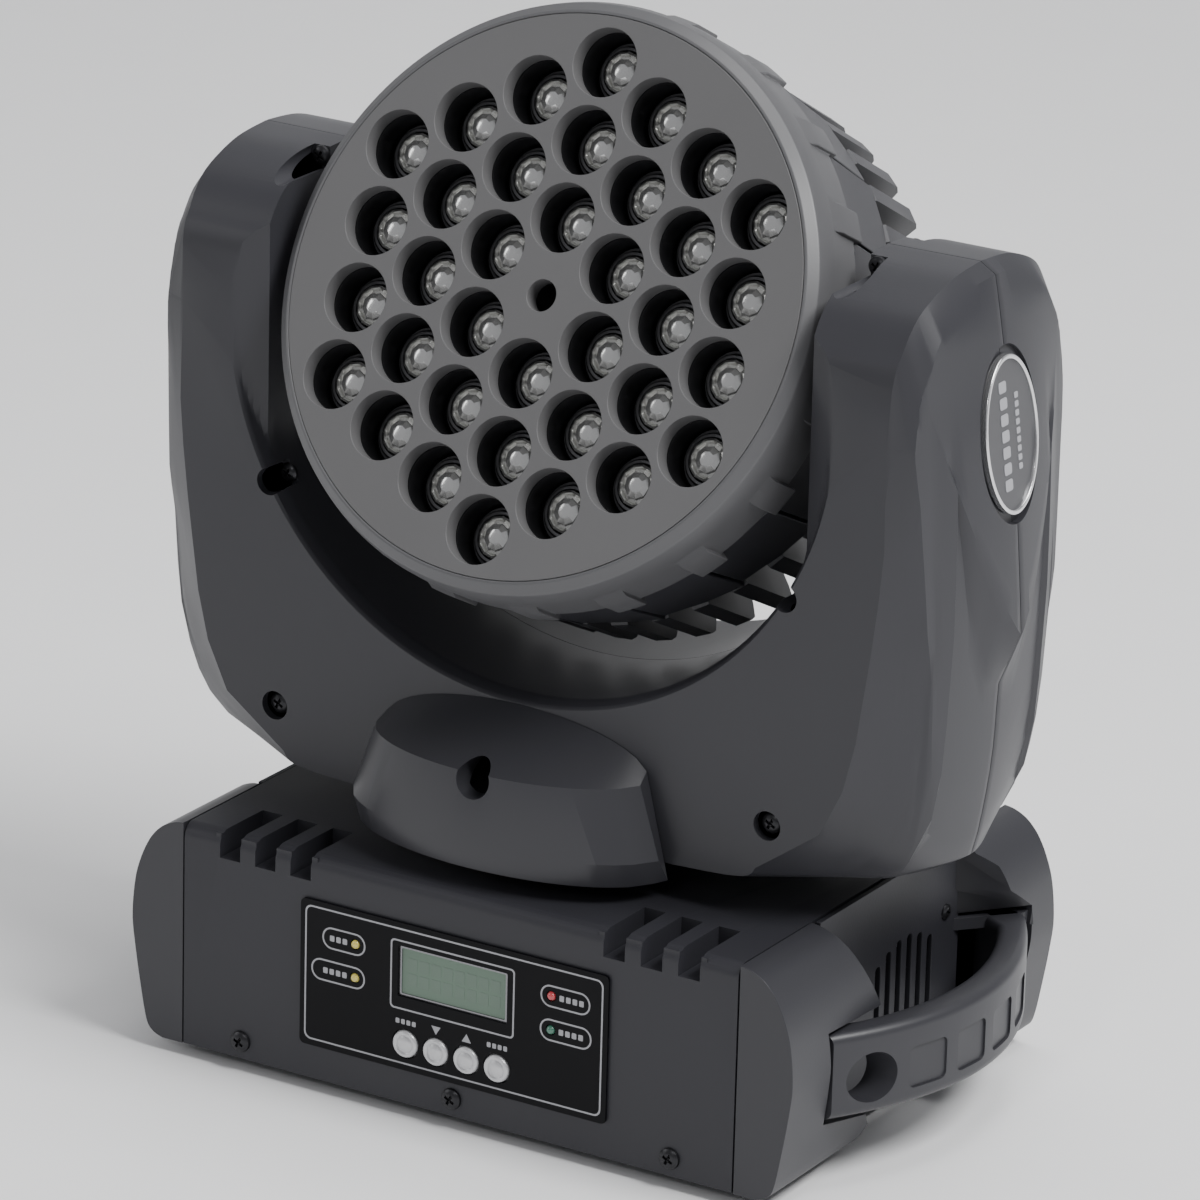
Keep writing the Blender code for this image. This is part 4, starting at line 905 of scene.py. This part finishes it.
def build_hub():
    """Ring on which the yoke turns, and the wires that pass it."""
    hub = turned(((21.2, 88.2), (40, 88.2), (40, 99.6), (21.2, 99.6)), "Z", segments=72)
    piece("pan_hub_ring", hub, SOCKET, "yoke", "steel", edge=0.8)
    wires = ((WIRE_GOLD, -26, 92), (WIRE_WHITE, -14, 93.5), (WIRE_BLUE, -20, 91.5))
    for index, (material, x, z) in enumerate(wires):
        points = [(x - 8, -43, z + 4), (x, -48, z), (x + 10, -49, z - 1),
                  (x + 19, -45.5, z + 4)]
        piece("loom_wire_%d" % (index + 1), tube_along(points, 1.1), material, "yoke", "board", angle=60)


# ---- head

def lens_centres():
    """Centres of 36 lenses in a hexagon round an empty middle."""
    centres = []
    for i in range(-3, 4):
        for j in range(-3, 4):
            if abs(i - j) <= 3 and (i, j) != (0, 0):
                centres.append((LENS_PITCH * cos(radians(30)) * i, LENS_PITCH * (j - i / 2)))
    return centres


def holed_disc(radius, hole_radius, low, high, segments):
    """Disc with a hole for each lens and a small middle one."""
    disc = rod("Y", (0, 0), radius, low, high, segments)
    holes = [rod("Y", centre, hole_radius, low - 1, high + 1, 48) for centre in lens_centres()]
    holes.append(rod("Y", (0, 0), 5.5, low - 1, high + 1, 32))
    return cut(disc, *holes)


def build_face():
    """Face plate, and the block of dark tubes behind it."""
    plate = holed_disc(96.9, 12, FACE_FRONT, FACE_FRONT + 7, 128)
    skin("face_plate", plate, FACE, "head", "face", edge=0.25, head=True)
    block = holed_disc(96, 11.8, FACE_FRONT + 7.1, FACE_FRONT + 20, 96)
    piece("tube_block", block, TUBE, "head", "black", head=True)


def build_lenses():
    """Holder, bright cup, faceted dome and lamp chip of every lens, on one disc."""
    back = LENS_BACK
    holder = ((11.6, back), (11.6, back - 1.6), (10.9, back - 2.6), (10, back - 2.6), (9.6, back - 1.2),
              (9.6, back - 4.6), (8.9, back - 5.4), (8, back - 5.4), (7.6, back - 4.4), (7.6, back))
    cup = ((7.4, back), (7.4, back - 6.2), (6.6, back - 6.6), (5.8, back - 4), (4.2, back - 1.5),
           (2.4, back - 0.6), (2.4, back))
    dome = ((0, back - 8.2), (2.6, back - 7.9), (4.6, back - 6.9), (6, back - 5.3), (6.4, back - 4),
            (0, back - 4))
    centres = lens_centres()
    holders = [turned(holder, "Y", centre, 36) for centre in centres]
    cups = [turned(cup, "Y", centre, 12) for centre in centres]
    domes = [turned(dome, "Y", centre, 9) for centre in centres]
    chips = [tile(centre, 1.6, 1.6, 0.3, back - 1, back - 0.2, 2) for centre in centres]
    piece("lens_holders", joined(holders), HOLDER, "head", "lens", head=True, angle=40)
    piece("lens_cups", joined(cups), REFLECTOR, "head", "lens", head=True, angle=12)
    piece("lens_domes", joined(domes), LENS, "head", "lens", ("lens_array",), head=True, angle=8)
    piece("lamp_chips", joined(chips), CHIP, "head", "board", head=True)
    disc = rod("Y", (0, 0), 95.5, back + 0.1, back + 2.6, 96)
    piece("lens_carrier", disc, TUBE, "head", "lens", head=True)


def polar(radius, degrees, y):
    """Point of the head at a radius and an angle round its axis."""
    angle = radians(degrees)
    return (radius * cos(angle), y, radius * sin(angle))


def build_bezel():
    """Ring round the face with a tab on every panel."""
    profile = ((97, -50), (98, -50), (101.4, -47.2), (102.6, -43.5), (103, -38), (103, -22.6),
               (98.6, -22.6), (98.6, -43), (97, -43.6))
    ring = turned(profile, "Y", segments=160)
    tabs = []
    for k in range(PANEL_COUNT):
        middle = PANEL_TURN * (k + 0.5)
        rings = []
        for inner, outer, y in ((102, 102.9, -37.5), (102, 104.4, -33), (101, 104.4, -18.6)):
            arc = [polar(outer, middle - 3 + 1.5 * i, y) for i in range(5)]
            arc += [polar(inner, middle + 3 - 1.5 * i, y) for i in range(5)]
            rings.append(arc)
        tabs.append(loft(rings))
    ring = add(ring, *tabs)
    skin("front_bezel", ring, BEZEL, "head", "casing", edge=0.5, head=True, angle=28)


def halfway(a, b, y):
    return ((a[0] + b[0]) / 2, y, (a[2] + b[2]) / 2)


def build_housing():
    """Flat panels with a thin gap between neighbours and a slanted rear end, over a dark drum."""
    panels = []
    thickness = 5
    for k in range(PANEL_COUNT):
        first = PANEL_TURN * k + 6.85
        last = first + 17.3
        sections = []
        for radius, y, cut_back in ((102.6, -21, 0), (99.8, 17, 4)):
            outer = polar(radius, first, y - cut_back), polar(radius, last, y)
            inner = polar(radius - thickness, last, y), polar(radius - thickness, first, y - cut_back)
            sections.append([outer[0], halfway(*outer, y), outer[1], inner[0], halfway(*inner, y), inner[1]])
        panels.append(loft(sections))
    piece("head_panels", joined(panels), CASING, "head", "casing", ("head_housing",), edge=0.5, head=True)
    drum = turned(((97.4, -22.5), (96, -2), (90, 2), (90, -22.5)), "Y", segments=80)
    piece("head_drum", drum, TUBE, "head", "black", head=True)


def fin_section(radius_low, radius_high, degrees, half, y):
    """Rectangle across a radial bar of half a width at depth y."""
    angle = radians(degrees)
    out = Vector((cos(angle), 0, sin(angle)))
    side = Vector((-sin(angle), 0, cos(angle)))
    corners = ((radius_low, -half), (radius_high, -half), (radius_high, half), (radius_low, half))
    return [Vector((0, y, 0)) + out * reach + side * offset for reach, offset in corners]


def build_heat_sink():
    """Disc and drum with two fins to every panel."""
    disc = turned(((0, -23.8), (90, -23.8), (90, -6), (84, 2), (0, 2)), "Y", segments=96)
    drum = turned(((44, -4), (82, -4), (78, 54), (44, 54)), "Y", segments=80)
    sink = add(disc, drum)
    fin = ((90.8, -8), (90.8, 11.6), (99.4, 17.4), (98.6, 50.5), (97, 53.6), (92, 55))
    fins = [loft([fin_section(60, radius, PANEL_TURN / 2 * k + 5, 3.2, y) for radius, y in fin])
            for k in range(2 * PANEL_COUNT)]
    sink = add(sink, *fins)
    skin("heat_sink", sink, CAST, "head", "cast", edge=0.6, head=True, angle=30)


def build_rear():
    """Rear cover of rings and spokes round a hub, the fan's axle, and four screws."""
    profile = ((58, 63.6), (66.4, 63.6), (66.4, 55.4), (70, 55.4), (70, 61), (68.6, 64.6),
               (65, 67.2), (58, 68))
    cover = turned(profile, "Y", segments=96)
    bars = [turned(((r, 65), (r + 1.8, 65), (r + 1.8, 67.4), (r, 67.4)), "Y", segments=72)
            for r in (12, 20, 28, 36, 44, 52)]
    spokes = [loft([fin_section(8, 60, 60 * k, 1.4, y) for y in (65.4, 67.8)]) for k in range(6)]
    hub = turned(((0, 64), (14, 64), (14, 66.6), (12.6, 68), (0, 68)), "Y", segments=48)
    for others in ([hub], *[[bar] for bar in bars], spokes[:3:2], spokes[1::2], spokes[4:5]):
        cover = add(cover, *others)
    skin("rear_cover", cover, CASING, "head", "casing", edge=0.3, head=True)
    axle = turned(((0, 42.4), (2.2, 42.4), (2.2, 64.5), (0, 64.5)), "Y", segments=20)
    piece("fan_axle", axle, STEEL, "head", "steel", head=True)
    direction = HEAD_MATRIX.to_3x3() @ Vector((0, 1, 0))
    for k in range(4):
        at = HEAD_MATRIX @ Vector(polar(63, 45 + 90 * k, 67.5))
        place_screw("rear_screw_%d" % (k + 1), at, 3, 0.4, "head", direction=direction)


def build_fan():
    """Hub with seven twisted blades."""
    hub = turned(((2.6, 44), (15.5, 44), (16, 45), (16, 54), (2.6, 54)), "Y", segments=48)
    blades = []
    for k in range(7):
        rings = []
        for radius, pitch in ((15, 34), (22, 30), (30, 26), (37, 22)):
            turn = radians(pitch)
            angle = radians(360 / 7 * k + (radius - 15) * 0.6)
            out = Vector((cos(angle), 0, sin(angle)))
            side = Vector((-sin(angle), 0, cos(angle)))
            lie = side * cos(turn) + Vector((0, 1, 0)) * sin(turn)
            normal = out.cross(lie)
            centre = out * radius + Vector((0, 49, 0))
            half = min(4 + radius * 0.17, 4.6 / sin(turn))
            rings.append([centre - lie * half - normal * 0.5, centre + lie * half - normal * 0.5,
                          centre + lie * half + normal * 0.5, centre - lie * half + normal * 0.5])
        blades.append(loft(rings))
    fan = add(hub, *blades)
    skin("fan_rotor", fan, SOCKET, "fan", "black", edge=0.2, head=True)


def build_tilt_shafts():
    """Hollow shafts the head turns on, each with a tapered bracket to the head."""
    for side_name, side, end in (("left", -1, 124), ("right", 1, 136)):
        name = "tilt_shaft_" + side_name
        profile = [(6, 101.9), (16, 101.9), (16, 104.8), (10, 104.8), (10, end), (6, end)]
        shaft = turned([(radius, side * height) for radius, height in profile], "X", segments=64)
        skin(name, shaft, STEEL, "head", "steel", edge=0.4, head=True)
        arm = loft([[(side * x, -y, -z), (side * x, y, -z), (side * x, y, z), (side * x, -y, z)]
                    for x, y, z in ((90, 14, 17), (101.4, 10, 13))])
        piece("tilt_bracket_" + side_name, arm, CASING, "head", "casing", edge=1, head=True)


# ---- assembly

build_cover()
for side_name, sx in SIDES:
    build_handle(side_name, sx)
    build_side_plate(side_name, sx)
    for front_name, sy in (("front", -1), ("rear", 1)):
        build_corner("corner_%s_%s" % (front_name, side_name), sx, sy)
build_panel()
build_buttons()
build_lamps()
build_base_details()
build_shell("yoke_front_shell", -1)
build_shell("yoke_rear_shell", 1)
build_boss("boss_cover_front", -1)
build_boss("boss_cover_rear", 1)
build_badges()
build_hub()
build_face()
build_lenses()
build_bezel()
build_housing()
build_heat_sink()
build_rear()
build_fan()
build_tilt_shafts()


# ---- floor, light and camera

def build_floor():
    """Floor that curves up into a wall behind the object."""
    points = []
    for i in range(13):
        angle = radians(-90 + 90 * i / 12)
        points.append((2.4 + 1.2 * cos(angle), 1.2 + 1.2 * sin(angle)))
    line = [(-6, 0)] + points + [(3.6, 6)]
    mesh = bmesh.new()
    rows = [[mesh.verts.new((x, y, z)) for y, z in line] for x in (-7, 7)]
    for i in range(len(line) - 1):
        mesh.faces.new((rows[0][i], rows[1][i], rows[1][i + 1], rows[0][i + 1]))
    data = bpy.data.meshes.new("floor")
    mesh.to_mesh(data)
    mesh.free()
    data.shade_smooth()
    data.materials.append(surface("pale floor", (0.86, 0.86, 0.865), 0.7, tint=0.01))
    floor = bpy.data.objects.new("floor", data)
    floor.rotation_euler = (0, 0, radians(31.3))
    scene.collection.objects.link(floor)


def add_light(name, at, target, size, power, colour=(1, 1, 1)):
    light = bpy.data.lights.new(name, "AREA")
    light.shape = "RECTANGLE"
    light.size, light.size_y = size
    light.energy = power
    light.color = colour
    made = bpy.data.objects.new(name, light)
    made.location = at
    made.rotation_euler = (Vector(target) - Vector(at)).to_track_quat("-Z", "Y").to_euler()
    scene.collection.objects.link(made)


def build_world():
    world = bpy.data.worlds.new("studio")
    world.use_nodes = True
    fill(world.node_tree.nodes["Background"], {"Color": (0.95, 0.96, 1, 1), "Strength": 0.30})
    scene.world = world


def build_camera():
    """Long lens from the photo's direction, aimed by shifts to the right and up."""
    azimuth, elevation, roll = radians(31.30), radians(19.51), radians(1.51)
    right = Vector((cos(azimuth), sin(azimuth), 0))
    ahead = Vector((-sin(azimuth), cos(azimuth), 0))
    up = ahead * sin(elevation) + Vector((0, 0, cos(elevation)))
    back = ahead * -cos(elevation) + Vector((0, 0, sin(elevation)))
    axis_x = cos(roll) * right + sin(roll) * up
    axis_y = -sin(roll) * right + cos(roll) * up
    to_right, to_top, distance = -3.4, -92.3, 2460
    at = Vector((0, 0, TILT_Z)) + axis_x * to_right + axis_y * to_top + back * distance
    data = bpy.data.cameras.new("camera")
    data.sensor_width = 36
    data.lens = 217.6
    data.clip_start = 0.05
    data.clip_end = 60
    camera = bpy.data.objects.new("camera", data)
    turn = Matrix((axis_x, axis_y, back)).transposed()
    camera.matrix_world = Matrix.Translation(at * MM) @ turn.to_4x4()
    scene.collection.objects.link(camera)
    scene.camera = camera


build_floor()
add_light("key", (1.9, -0.1, 2.5), (0, 0, 0.25), (1.3, 1), 105)
add_light("top", (0.2, 0.5, 3), (0, 0, 0.2), (1.6, 1.6), 42)
add_light("left", (-2.2, -1.5, 1.2), (0, 0, 0.2), (1.2, 1.4), 13)
add_light("front", (0.5, -2.7, 1.9), (0, 0, 0.25), (0.3, 0.3), 9)
build_world()
build_camera()

bpy.context.view_layer.update()
